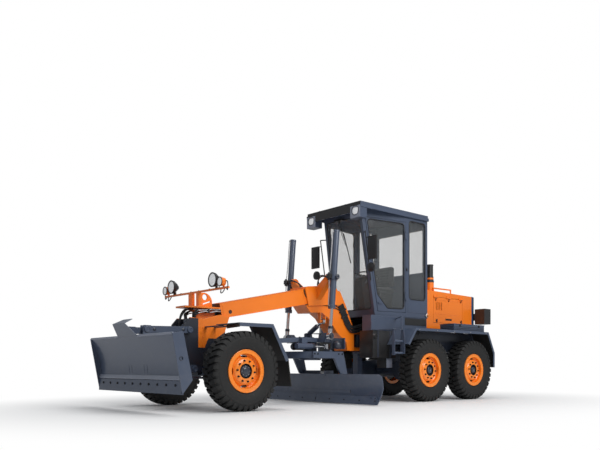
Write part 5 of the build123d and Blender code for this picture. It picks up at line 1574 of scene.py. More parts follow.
@dataclass
class Boom:
    """Boom flanges, steel pipes, hoses, lamps and pins of the front frame."""

    patterns: Patterns
    half: float = 0.17
    flange: float = 0.006
    lamp: Pair = (0.581, 1.855)
    marker: Pair = (0.771, 1.812)
    bar_low: float = 1.715
    hose: float = 0.0115
    neck_hose: float = 0.0125
    neck_pitch: float = 0.0265
    neck_line: Outline = (
        (1.945, 1.7), (1.898, 1.612), (1.83, 1.478), (1.752, 1.352), (1.672, 1.282), (1.56, 1.29),
        (1.414, 1.33), (1.29, 1.38), (1.17, 1.415), (1.02, 1.43), (0.925, 1.43))
    neck_sides: Sequence[float] = (
        0.188, 0.188, 0.188, 0.188, 0.19, 0.194, 0.198, 0.202, 0.204, 0.204, 0.204)

    def build(self) -> None:
        """Builds the front frame's pieces."""
        self._flanges()
        self._head_pipes()
        self._lamps()
        self._side_lines()
        self._neck_hoses()
        self._pins()

    def _flanges(self) -> None:
        """Lays the boom's top and bottom flange plates, a black sheet of painted shade in its open end, its
        eyes and its weld seams.
        """
        out = self.half + self.flange
        flanges = Shape()
        flanges.plate([(2.83, 1.9065), (4.4655, 1.5735), (4.4665, 1.5795), (2.8315, 1.913)], -out, out)
        flanges.plate([(2.752, 1.6665), (4.4135, 1.3545), (4.4125, 1.349), (2.7505, 1.6612)], -out, out)
        flanges.piece("boom_flanges", Body.FRONT, ORANGE, 0.0015)
        # Painted shade: a black sheet fills the boom's open end, where the hollow box lies in shade.
        inside = self.half - self.flange
        Shape().plate(
            [(4.4165, 1.352), (4.464, 1.576), (4.468, 1.575), (4.4205, 1.351)], -inside,
            inside).piece("boom_end_panel", Body.FRONT, BLACK)
        holes, seams = Shape(), Shape()
        for hand in HANDS:
            holes.boss(hand, (4.271, self.half + 0.0015, 1.456), [
                (0, 0), (0.024, 0), (0.0275, 0.003), (0.03, 0.003), (0.03, 0.0005), (0.031, -0.001),
                (0, -0.001)], 36)
            for outline in ([(2.744, 1.672), (2.752, 1.672), (2.828, 1.902), (2.82, 1.902)], [
                    (4.374, 1.364), (4.382, 1.364), (4.43, 1.572), (4.422, 1.572)]):
                seams.flank(hand, outline, (self.half - 0.001, self.half + 0.003))
        holes.piece("boom_eyes", Body.FRONT, BORE)
        seams.piece("boom_welds", Body.FRONT, ORANGE, 0.001)

    def _head_pipes(self) -> None:
        """Runs the pipes from the boom's end over the head and the hoses on to the dozer cylinder."""
        rows = [
            (0.158, 1.47), (0.158, 1.436), (0.13, 1.476), (0.13, 1.44), (0.102, 1.47), (0.074, 1.474)]
        pipes, hoses, clips = [], [], Shape()
        for place, (y, z) in enumerate(rows):
            wave = 0.006 if place % 2 else -0.006
            pipes.append([
                (4.44, y, z + 0.012), (4.52, y, z + 0.006 + wave), (4.61, y, z - wave),
                (4.7, y, z - 0.004 + wave), (4.79, y, z - 0.016), (4.836, y, z - 0.03)])
        for place, (y, z) in enumerate(rows[:5]):
            low = 1.3 - 0.02 * place
            hoses.append([
                (4.828, y, z - 0.028), (4.868, y, z - 0.05), (4.885, y - 0.01, 1.39),
                (4.872, y - 0.02, low + 0.02), (4.845, y - 0.028, low - 0.05)])
        for hand in HANDS:
            clips.slab(hand, (4.64, 4.668), (0.064, 0.17), (1.418, 1.486))
        self.patterns.tubes("head_pipes", mirrored(pipes), 0.008, Body.FRONT, STEEL)
        clips.piece("head_pipe_clamps", Body.FRONT, BLACK_PLASTIC, 0.003)
        self.patterns.tubes("head_hoses", mirrored(hoses), self.hose, Body.FRONT, HOSE)
        line = Vector((0.579, 0.0, -0.816)).normalized()
        port = at(4.925, 0.0, 1.285) + line * 0.125 + Vector((0.036, 0.0, 0.026))
        runs = [
            [
                at(4.85, 0.062, 1.47), at(4.93, 0.066, 1.474), at(5.01, 0.052, 1.42),
                at(5.055, 0.03, 1.33), port + Vector((0.04, 0.016, 0.03)),
                port + Vector((0.004, 0.01, 0.004))],
            [
                at(4.85, -0.062, 1.47), at(4.925, -0.064, 1.47), at(4.99, -0.052, 1.41),
                at(5.03, -0.034, 1.335), port + Vector((0.018, -0.018, 0.022)),
                port + Vector((-0.01, -0.012, 0.01))]]
        self.patterns.tubes("dozer_hoses", runs, self.hose, Body.FRONT, HOSE)
        ends = Shape()
        for run in runs:
            ends.rod(run[0] - AHEAD * 0.075, run[0] + AHEAD * 0.012, 0.015, 6)
        ends.piece("dozer_hose_fittings", Body.FRONT, STEEL)

    def _lamps(self) -> None:
        """Fits the head lamps and markers with glass, rings, backs and leads."""
        glass, rings, shells = Shape(), Shape(), Shape()
        for hand in HANDS:
            centre = at(4.82, hand * self.lamp[0], self.lamp[1])
            glass.lathe(centre, AHEAD, [
                (0, 0.033), (0.0895, 0.033), (0.0895, 0.0425), (0.074, 0.0505), (0.045, 0.056),
                (0, 0.058)], 48)
            rings.lathe(centre, AHEAD, [
                (0.0875, 0.04), (0.1055, 0.04), (0.1065, 0.048), (0.0985, 0.053), (0.0895, 0.049)], 48)
            shells.lathe(centre, AHEAD, [
                (0, -0.08), (0.03, -0.078), (0.044, -0.06), (0.058, -0.044), (0, -0.044)], 32)
            small = at(4.83, hand * self.marker[0], self.marker[1])
            glass.lathe(small, AHEAD, [
                (0, 0.027), (0.0575, 0.027), (0.0575, 0.034), (0.046, 0.041), (0, 0.045)], 40)
            rings.lathe(
                small, AHEAD, [(0.0555, 0.033), (0.068, 0.033), (0.068, 0.0405), (0.059, 0.043)], 40)
        glass.piece("front_lamp_glass", Body.FRONT, LENS)
        rings.piece("front_lamp_rings", Body.FRONT, BLACK_PLASTIC)
        shells.piece("front_lamp_backs", Body.FRONT, BLACK_PLASTIC)
        (y, z), low, lamp = self.marker, self.bar_low, self.lamp[0]
        leads = [
            [
                (4.79, y - 0.075, low + 0.004), (4.812, y - 0.052, low - 0.05),
                (4.815, y - 0.02, low - 0.058), (4.8, y + 0.005, low - 0.03),
                (4.79, y + 0.012, low + 0.004)],
            [
                (4.79, y + 0.06, low + 0.004), (4.8, y + 0.1, low - 0.022),
                (4.8, y + 0.108, low + 0.04), (4.795, y + 0.09, z), (4.795, y + 0.05, z + 0.01)],
            [
                (4.79, lamp + 0.06, low + 0.004), (4.78, lamp + 0.052, 1.79),
                (4.772, lamp + 0.02, 1.835), (4.752, lamp, 1.852)]]
        self.patterns.tubes("lamp_leads", mirrored(leads), 0.007, Body.FRONT, HOSE)
        places = [at(4.79, y, 1.7425) for y in (-0.108, 0.104, 0.4, -0.4)]
        self.patterns.bolts("light_bar_bolts", places, UP, 0.026, Body.FRONT, STEEL)

    def _side_lines(self) -> None:
        """Clips the thin hose lines and their clips on the boom's flanks."""
        high = [
            (2.789, 1.912), (2.776, 1.85), (2.735, 1.785), (2.664, 1.728), (2.514, 1.712), (2.289, 1.728),
            (2.08, 1.69), (1.96, 1.64)]
        low = [
            (2.755, 1.654), (2.66, 1.676), (2.56, 1.688), (2.4, 1.676), (2.253, 1.668), (2.06, 1.64),
            (1.955, 1.6)]
        lines = mirrored([[(station, self.half + 0.009, z) for station, z in path] for path in (high, low)])
        self.patterns.tubes("boom_side_hoses", lines, 0.0075, Body.FRONT, HOSE)
        places = [(station, self.half + 0.0005, z) for station, z in ((2.7, 1.775), (2.33, 1.7))]
        self.patterns.side_bolts("side_hose_clips", places, 0.03, Body.FRONT, DARK_STEEL)

    def _neck_hoses(self) -> None:
        """Leads the hose bundles from the neck's flanks back under the cab, across the hinge."""
        down, across = Vector((-0.447, 0.0, -0.894)), Vector((0.894, 0.0, -0.447))
        for hand, name in HANDS.items():
            paths = []
            for place in range(5):
                route = [
                    at(station, hand * (y + 0.014 * (place % 2) * (number > 3)), z)
                    for number, ((station, z), y) in enumerate(zip(self.neck_line, self.neck_sides))]
                paths.append(abreast(route, (place - 2) * self.neck_pitch))
            self.patterns.blended_tubes(
                f"neck_hoses_{name}", paths, self.neck_hose, HOSE, at(1.15, 0.0, 1.35), at(1.58, 0.0, 1.35))
            near, far = sorted((hand * (self.half - 0.001), hand * 0.206))
            clamp = Shape()
            for low, high in ((0.0, 0.03), (0.11, 0.134)):
                start = at(1.9, near, 1.615) + down * low
                end = start + down * (high - low)
                clamp.prism([
                    start + across * 0.08, start - across * 0.08, end - across * 0.08,
                    end + across * 0.08], side(1) * (far - near))
            clamp.piece(f"neck_hose_clamps_{name}", Body.FRONT, BLACK_PLASTIC, 0.003)

    def _pins(self) -> None:
        """Caps the frame hinge and the dozer's rear pins, and bolts the head's sides."""
        Shape().lathe(
            at(1.33, 0.0, 1.3245), UP, [(0, 0), (0.062, 0), (0.062, 0.01), (0.056, 0.016), (0, 0.016)],
            36).piece("hinge_cap", Body.REAR, STEEL)
        angles = [math.radians(60 * turn) for turn in range(6)]
        places = [at(1.33 + 0.042 * math.cos(angle), 0.042 * math.sin(angle), 1.3405) for angle in angles]
        self.patterns.bolts("hinge_cap_bolts", places, UP, 0.018, Body.REAR, DARK_STEEL)
        heads = Shape()
        for hand in HANDS:
            for station, z in ((5.03, 1.15), (4.95, 0.59)):
                heads.boss(hand, (station, 0.2615, z), [
                    (0, 0), (0.044, 0), (0.046, 0.004), (0.044, 0.011), (0.026, 0.013), (0.022, 0.009),
                    (0, 0.009)])
        heads.piece("dozer_rear_pin_caps", Body.FRONT, SLATE)
        places = [(4.77, 0.1905, z) for z in (0.93, 1.06, 1.19)]
        self.patterns.side_bolts("head_side_bolts", places, 0.026, Body.FRONT, ORANGE)


@dataclass
class LiftCylinders:
    """Glands, pipes and trunnion blocks of the blade's lift cylinders."""

    patterns: Patterns
    y: float = 0.56
    top: Pair = (2.468, 2.103)
    eye: Pair = (2.55, 1.125)

    def build(self) -> None:
        """Builds both cylinders' pieces on their two bodies."""
        line = (at(self.eye[0], 0, self.eye[1]) - at(self.top[0], 0, self.top[1])).normalized()
        ahead = Vector((-line.z, 0.0, line.x))
        collars, blocks, caps, eyes = Shape(), Shape(), Shape(), Shape()
        pipes, places, facings = [], [], []
        for hand in HANDS:
            pivot = at(self.top[0], hand * self.y, self.top[1])
            gland = pivot + line * 0.47
            collars.lathe(gland, line, [
                (0.0525, 0), (0.061, 0.004), (0.062, 0.05), (0.06, 0.0575), (0.034, 0.0585),
                (0.0275, 0.0585), (0.0275, 0.04), (0.0515, 0.004)], 40)
            collars.lathe(pivot - line * 0.792, line, [
                (0, 0), (0.044, 0), (0.0545, 0.008), (0.0555, 0.034), (0.0515, 0.036), (0, 0.036)], 40)
            out = side(hand)
            for shift in (-0.036, 0.036):
                collars.lathe(pivot + line * (shift - 0.006), line, [
                    (0.06, 0), (0.07, 0.001), (0.07, 0.011), (0.06, 0.012)], 40)
            block = pivot + ahead * 0.098 - line * 0.004
            corners = [block + ahead * a + line * b - out * 0.045 for a, b in (
                (-0.034, -0.036), (0.03, -0.036), (0.03, 0.036), (-0.034, 0.036))]
            blocks.prism(corners, out * 0.082)
            blocks.rod(block + ahead * 0.01 - line * 0.06, block + ahead * 0.01 + line * 0.066, 0.02, 12)
            caps.lathe(pivot + out * 0.094, out, [
                (0, 0), (0.04, 0), (0.041, 0.008), (0.034, 0.013), (0, 0.013)], 32)
            for turn in (45, 135, 225, 315):
                angle = math.radians(turn)
                places.append(
                    pivot + out * 0.1065 + line * 0.026 * math.cos(angle) + ahead * 0.026 * math.sin(angle))
                facings.append(out)
            high = pivot - line * 0.75 + ahead * 0.052
            pipes.append([
                high, high + ahead * 0.02, high + ahead * 0.03 + line * 0.022,
                pivot + ahead * 0.086 - line * 0.3, pivot + ahead * 0.1 - line * 0.062])
            low = pivot + line * 0.486 + ahead * 0.058
            pipes.append([
                low, low + ahead * 0.014 - line * 0.01, low + ahead * 0.022 - line * 0.04,
                pivot + ahead * 0.088 + line * 0.2, pivot + ahead * 0.096 + line * 0.06])
            foot = at(self.eye[0], hand * self.y, self.eye[1])
            eyes.lathe(foot - line * 0.165, line, [
                (0.0285, 0), (0.04, 0.003), (0.0405, 0.04), (0.037, 0.046), (0.0285, 0.046)], 32)
            eyes.lathe(
                foot + out * 0.0345, out, [(0.034, 0), (0.05, 0), (0.05, 0.004), (0.034, 0.006)], 32)
        collars.piece("lift_cylinder_collars", Body.LIFT_BARRELS, SLATE)
        blocks.piece("lift_valve_blocks", Body.LIFT_BARRELS, BLACK, 0.004)
        caps.piece("lift_trunnion_caps", Body.LIFT_BARRELS, SLATE_SHADED)
        self.patterns.bolts("lift_trunnion_bolts", places, facings, 0.014, Body.LIFT_BARRELS, STEEL)
        self.patterns.tubes("lift_cylinder_pipes", pipes, 0.0085, Body.LIFT_BARRELS, STEEL)
        eyes.piece("lift_rod_collars", Body.LIFT_RODS, SLATE_SHADED)
        hoses = [
            [
                (2.52 - 0.05 * place, 0.215, 1.995), (2.54, 0.26, 2.075),
                (2.575, 0.36 + 0.02 * place, 2.118 + 0.016 * place), (2.584, 0.44, 2.12 + 0.012 * place),
                (2.568, 0.512, 2.104)]
            for place in range(2)]
        self.patterns.tubes("lift_hoses", mirrored(hoses), 0.011, Body.FRONT, HOSE)
        trunnions = Shape()
        for hand in HANDS:
            trunnions.boss(hand, (self.top[0], 0.47, self.top[1]), [
                (0.032, -0.06), (0.068, -0.06), (0.07, -0.05), (0.07, -0.01), (0.066, -0.0005),
                (0.032, -0.0005)], 40)
        trunnions.piece("saddle_bosses", Body.FRONT, ORANGE)


@dataclass
class BladeGear:
    """Fittings of the drawbar, the circle and the moldboard."""

    patterns: Patterns
    ball: float = 0.066
    tooth_count: int = 72
    circle_centre: Point = (2.5, 0.0, 0.815)
    face: Vector = field(default_factory=lambda: Vector((0.951, 0.0, 0.31)))

    def build(self) -> None:
        """Builds the pieces on the three bodies."""
        self._drawbar()
        self._circle()
        self._moldboard()

    def _drawbar(self) -> None:
        """Adds the balls beside the lift brackets, plates, pin caps, bolts, a ball collar and a gland."""
        balls, plates, light = Shape(), Shape(), Shape()
        angles = [math.radians(degrees) for degrees in range(12, 180, 12)]
        globe = [(0, -self.ball), *(
            (self.ball * math.sin(angle), -self.ball * math.cos(angle)) for angle in angles), (0, self.ball)]
        for hand in HANDS:
            plates.slab(hand, (2.2, 2.498), (0.44, 0.52), (1.036, 1.098))
            plates.slab(hand, (2.215, 2.47), (0.5, 0.512), (0.916, 1.098))
            light.slab(hand, (2.198, 2.212), (0.44, 0.56), (0.916, 1.104))
            balls.boss(hand, (2.385, 0.56, 0.978), globe, 36)
            balls.boss(
                hand, (2.385, 0.56, 0.978), [(0, -self.ball), (0.03, -self.ball), (0.03, 0), (0, 0)], 24)
            plates.boss(hand, (2.55, 0.6045, 1.125), [
                (0, 0), (0.036, 0), (0.036, 0.01), (0.028, 0.014), (0, 0.014)])
        balls.piece("drawbar_balls", Body.DRAWBAR, SLATE_SHADED)
        plates.piece("drawbar_side_plates", Body.DRAWBAR, SLATE_SHADED, 0.002)
        light.piece("drawbar_rear_plates", Body.DRAWBAR, SLATE, 0.002)
        Shape().lathe(at(4.17, 0.0, 0.962), AHEAD, [
            (0.038, 0), (0.06, 0.002), (0.062, 0.03), (0.05, 0.04),
            (0.038, 0.04)]).piece("drawbar_ball_collar", Body.DRAWBAR, SLATE_SHADED)
        places = [
            at(station, y, 1.1003) for station in (2.25, 2.42, 2.69, 2.88, 2.98)
            for y in (-0.29, 0.29)]
        self.patterns.bolts("drawbar_bolts", places, UP, 0.028, Body.DRAWBAR, DARK_STEEL)
        Shape().lathe(at(2.76, 0.395, 0.955), AHEAD, [
            (0.0226, 0.001), (0.05, 0.001), (0.051, 0.01), (0.051, 0.05), (0.0465, 0.054),
            (0.0465, 0.04), (0.0226, 0.004)], 36).piece("turn_cylinder_gland", Body.DRAWBAR, SLATE_SHADED)

    def _circle(self) -> None:
        """Rings the circle with its gear teeth inside and bolts its arms."""
        outline = [(0.4295, -0.012), (0.401, -0.006), (0.401, 0.006), (0.4295, 0.012)]
        tooth = Shape().prism([Vector((y, -0.05, -x)) for x, y in outline], side(1) * 0.1)
        teeth = self.patterns.ring_of("circle_teeth", tooth, self.tooth_count, 0.0, Vector(), "", STEEL)
        turn = Matrix.Rotation(math.radians(90), 4, "X")
        teeth.data.transform(Matrix.Translation(at(*self.circle_centre)) @ turn)
        teeth.data.update()
        publish(teeth, Body.CIRCLE, DARK_STEEL)
        places = [(station, 0.5403, z) for station, z in (
            (2.25, 0.83), (2.33, 0.83), (2.8, 0.83), (2.87, 0.83), (2.17, 0.42), (2.17, 0.3))]
        self.patterns.side_bolts("circle_arm_bolts", places, 0.026, Body.CIRCLE, DARK_STEEL)

    def _moldboard(self) -> None:
        """Bolts the cutting edges on, chromes the side-shift rod and welds on the rail ends."""
        places = [at(2.366, -1.4 + 0.35 * place, 0.075) for place in range(9)]
        self.patterns.bolts("blade_edge_bolts", places, self.face, 0.02, Body.MOLDBOARD, DARK_STEEL)
        places = paired([(2.352, y, 0.12) for y in (1.39, 1.3)])
        self.patterns.bolts("blade_end_bolts", places, self.face, 0.017, Body.MOLDBOARD, DARK_STEEL)
        Shape().lathe(at(2.205, -0.285, 0.52), side(1), [
            (0, 0), (0.0181, 0), (0.0182, 0.001), (0.0182, 0.4985),
            (0, 0.4985)]).piece("side_shift_rod", Body.MOLDBOARD, CHROME)
        rails, joint = Shape(), Shape()
        for z in (0.21, 0.445):
            for hand in HANDS:
                rails.slab(hand, (2.214, 2.322), (0.8, 0.812), (z - 0.026, z + 0.026))
        rails.piece("blade_rail_stops", Body.MOLDBOARD, SLATE_SHADED, 0.002)
        for y in (-0.002, -1.436, 1.432):
            joint.plate([(2.3852, 0.02), (2.3398, 0.148), (2.342, 0.149), (2.388, 0.02)], y, y + 0.004)
        joint.piece("blade_edge_joints", Body.MOLDBOARD, DARK_STEEL)


@dataclass
class DozerGear:
    """Bolts, ridge, rolled edge, pin caps and pipes of the front blade."""

    patterns: Patterns
    half: float = 1.232
    cylinder: tuple[Point, Point] = ((4.925, 0.0, 1.285), (5.34, 0.0, 0.7))

    def build(self) -> None:
        """Builds the pieces on the blade, its cylinder and its arms."""
        self._face()
        self._pins()
        self._cylinder()

    def _face(self) -> None:
        """Puts the ridge, the rolled top edge, the bolts, the corner welds and the hole rims on the blade."""
        # The ridge and the top edge get the lighter slate as painted highlight.
        Shape().plate([
            (5.721, 0.438), (5.74, 0.446), (5.744, 0.456), (5.74, 0.47), (5.7245, 0.506),
            (5.718, 0.47)], -self.half, self.half).piece("dozer_ridge", Body.DOZER, SLATE_HIGHLIGHT, 0.003)
        top = Shape()
        for start, end in ((-self.half, -0.292), (0.292, self.half)):
            top.rod(at(5.868, start, 1.04), at(5.868, end, 1.04), 0.016, 16)
        top.piece("dozer_top_edge", Body.DOZER, SLATE_HIGHLIGHT)
        places = paired([(5.7415, y, 0.38) for y in (0.12, 0.36, 0.6, 0.84, 1.08)])
        self.patterns.bolts(
            "dozer_edge_bolts", places, Vector((0.9963, 0.0, 0.0854)), 0.03, Body.DOZER, DARK_STEEL)
        shares = [place / 8.0 for place in range(9)]
        arc = [(
            5.7215 + 0.1585 * share * share * 0.62 + 0.061 * share ** 4, self.half + 0.001,
            0.44 + share * 0.59) for share in shares]
        self.patterns.tubes("dozer_corner_welds", mirrored([arc]), 0.005, Body.DOZER, SLATE)
        rims = Shape()
        for hand in HANDS:
            rims.boss(hand, (5.755, 1.2445, 0.722), [
                (0.0228, -0.0015), (0.03, -0.0015), (0.029, 0.003), (0.0235, 0.0035)])
        rims.piece("dozer_hole_rims", Body.DOZER, SLATE_SHADED)

    def _pins(self) -> None:
        """Caps the pins at both ends of the arms and links."""
        caps, bosses = Shape(), Shape()
        for hand in HANDS:
            for station, z in ((5.72, 1.135), (5.64, 0.575)):
                caps.boss(hand, (station, 0.2855, z), [
                    (0, 0), (0.046, 0), (0.048, 0.004), (0.046, 0.012), (0.03, 0.014), (0.026, 0.009),
                    (0, 0.009)])
            for station, z in ((5.14, 1.1475), (5.6, 1.137)):
                bosses.boss(hand, (station, 0.2575, z), [
                    (0, 0), (0.024, 0), (0.024, 0.005), (0.016, 0.009), (0, 0.009)], 24)
        caps.piece("dozer_pin_caps", Body.DOZER, SLATE)
        bosses.piece("link_bosses", Body.UPPER_LINKS, SLATE_SHADED)

    def _cylinder(self) -> None:
        """Pipes the dozer cylinder and rings its gland."""
        top, eye = (at(*place) for place in self.cylinder)
        line = (eye - top).normalized()
        out = Vector((-line.z, 0.0, line.x))
        port = top + line * 0.125 + out * 0.04
        pipe = [
            port, port + out * 0.016, port + out * 0.022 + line * 0.03, top + line * 0.38 + out * 0.062,
            top + line * 0.412 + out * 0.05, top + line * 0.416 + out * 0.036]
        self.patterns.tubes("dozer_cylinder_pipe", [pipe], 0.0075, Body.DOZER_BARREL, STEEL)
        gland = Shape()
        gland.lathe(top + line * 0.392, line, [
            (0.0425, 0), (0.05, 0.003), (0.0505, 0.04), (0.048, 0.0495), (0.0216, 0.05),
            (0.0216, 0.0485), (0.0425, 0.01)], 36)
        gland.lathe(port, out, [(0, -0.008), (0.018, -0.008), (0.018, 0.01), (0.012, 0.014), (0, 0.014)], 6)
        gland.piece("dozer_cylinder_gland", Body.DOZER_BARREL, SLATE_SHADED)


@dataclass
class Hood:
    """Trim, latches, louvres, exhaust bands and tail lamps of the engine hood."""

    patterns: Patterns
    half: float = 0.55
    exhaust_foot: Point = (-0.28, 0.39, 2.29)

    def build(self) -> None:
        """Builds the hood's pieces on the rear frame and on both lids."""
        self._lids()
        self._stripe()
        self._exhaust()
        self._tail()

    def _lids(self) -> None:
        """Fits each lid with backing, louvre lips, hinge bolts, latches, the slot's frame and creases."""
        for hand, body in ((1, Body.LID_LEFT), (-1, Body.LID_RIGHT)):
            name = HANDS[hand]
            widths = (self.half - 0.0155, self.half - 0.0085)
            backing = Shape().slab(hand, (-0.462, -0.254), widths, (1.71, 1.88))
            backing.slab(hand, (-0.775, -0.549), widths, (1.52, 1.562))
            backing.piece(f"lid_backing_{name}", body, BLACK_PLASTIC)
            inside = self.half - 0.003
            corners = [
                (-0.4515, inside), (-0.4475, inside), (-0.438, inside + 0.011), (-0.4405, inside + 0.013)]
            heights = (1.716, 1.716, 1.722, 1.722)
            lip = Shape().prism(
                [at(station, hand * y, z) for (station, y), z in zip(corners, heights)], UP * 0.146)
            self.patterns.row_of(f"louvre_lips_{name}", lip, 4, AHEAD * 0.056, body, ORANGE)
            places = [
                at(station, hand * (self.half + out), z) for out, z in ((0.0082, 1.934), (0.0002, 1.905))
                for station in (-1.055, -0.661, -0.252)]
            self.patterns.bolts(f"lid_hinge_bolts_{name}", places, side(hand), 0.024, body, DARK_STEEL)
            latches = Shape()
            for station in (-0.28, -1.063):
                latches.boss(hand, (station, self.half - 0.001, 1.512), [
                    (0, 0), (0.022, 0), (0.022, 0.008), (0.016, 0.012), (0, 0.012)], 24)
                latches.slab(
                    hand, (station - 0.011, station + 0.011), (self.half + 0.008, self.half + 0.019),
                    (1.478, 1.542))
            for heights in ((1.5525, 1.558), (1.524, 1.5295)):
                latches.slab(hand, (-0.77, -0.554), (self.half - 0.002, self.half + 0.004), heights)
            latches.piece(f"lid_latches_{name}", body, BLACK_PLASTIC, 0.002)
            y = hand * (self.half + 0.0005)
            creases = [[at(-1.1, y, z), at(-0.2, y, z)] for z in (1.64, 1.91)]
            self.patterns.tubes(f"lid_creases_{name}", creases, 0.0022, body, ORANGE, False)

    def _stripe(self) -> None:
        """Wraps the dark blue strip round the hood's rear edge."""
        stations, out = (-1.4655, -1.424), self.half + 0.0025
        stripe = Shape()
        for hand in HANDS:
            stripe.slab(hand, stations, (self.half - 0.001, out), (1.382, 2.0445))
        stripe.slab(1, stations, (-out, out), (2.0425, 2.0465))
        stripe.piece("hood_rear_stripe", Body.REAR, DEEP_BLUE, 0.001)

    def _exhaust(self) -> None:
        """Bands the exhaust in blue and orange and rolls its mouth."""
        for name, finish, profile in (("exhaust_blue_band", SLATE_SHADED, [
                (0.0765, -0.034), (0.0785, -0.03), (0.0785, 0.004), (0.07, 0.006), (0.07, -0.001),
                (0.0765, -0.001)]), ("exhaust_orange_band", ORANGE, [
                    (0.0695, 0.022), (0.0725, 0.022), (0.073, 0.026), (0.073, 0.052), (0.0725, 0.056),
                    (0.0695, 0.056)]), ("exhaust_mouth", BLACK, [
                        (0.056, 0.292), (0.066, 0.292), (0.067, 0.3), (0.066, 0.315),
                        (0.056, 0.315)])):
            Shape().lathe(at(*self.exhaust_foot), UP, profile, 40).piece(name, Body.REAR, finish)

    def _tail(self) -> None:
        """Puts lenses on the tail lamp boxes, wires before the grille and bolts on the panel and bumper."""
        red, amber, frames = Shape(), Shape(), Shape()
        for hand in HANDS:
            frames.slab(hand, (-1.7004, -1.698), (0.6, 0.81), (1.49, 1.78))
            for lens, z, edge, crown in ((red, 1.7, 0.06, 0.044), (amber, 1.57, 0.055, 0.04)):
                lens.lathe(at(-1.7002, hand * 0.705, z), -AHEAD, [
                    (0, 0), (edge, 0), (edge, 0.0006), (crown, 0.0012), (0, 0.0016)], 36)
        frames.piece("tail_lamp_frames", Body.REAR, BLACK_PLASTIC)
        red.piece("tail_lamp_red_glass", Body.REAR, RED_LENS)
        amber.piece("tail_lamp_amber_glass", Body.REAR, AMBER)
        wire = Shape().slab(1, (-1.48, -1.4785), (-0.455, -0.4535), (1.475, 1.958))
        self.patterns.row_of("grille_wires", wire, 61, side(1) * 0.0151, Body.REAR, DARK_STEEL)
        places = [at(-1.5103, y, z) for y in (-0.505, 0.505) for z in (1.43, 1.72, 2.0)]
        self.patterns.bolts("tail_panel_bolts", places, -AHEAD, 0.024, Body.REAR, DARK_STEEL)
        places = [at(-1.5003, y, z) for y in (-0.48, -0.3, 0.3, 0.48) for z in (0.93, 1.08)]
        self.patterns.bolts("bumper_bolts", places, -AHEAD, 0.034, Body.REAR, DARK_STEEL)


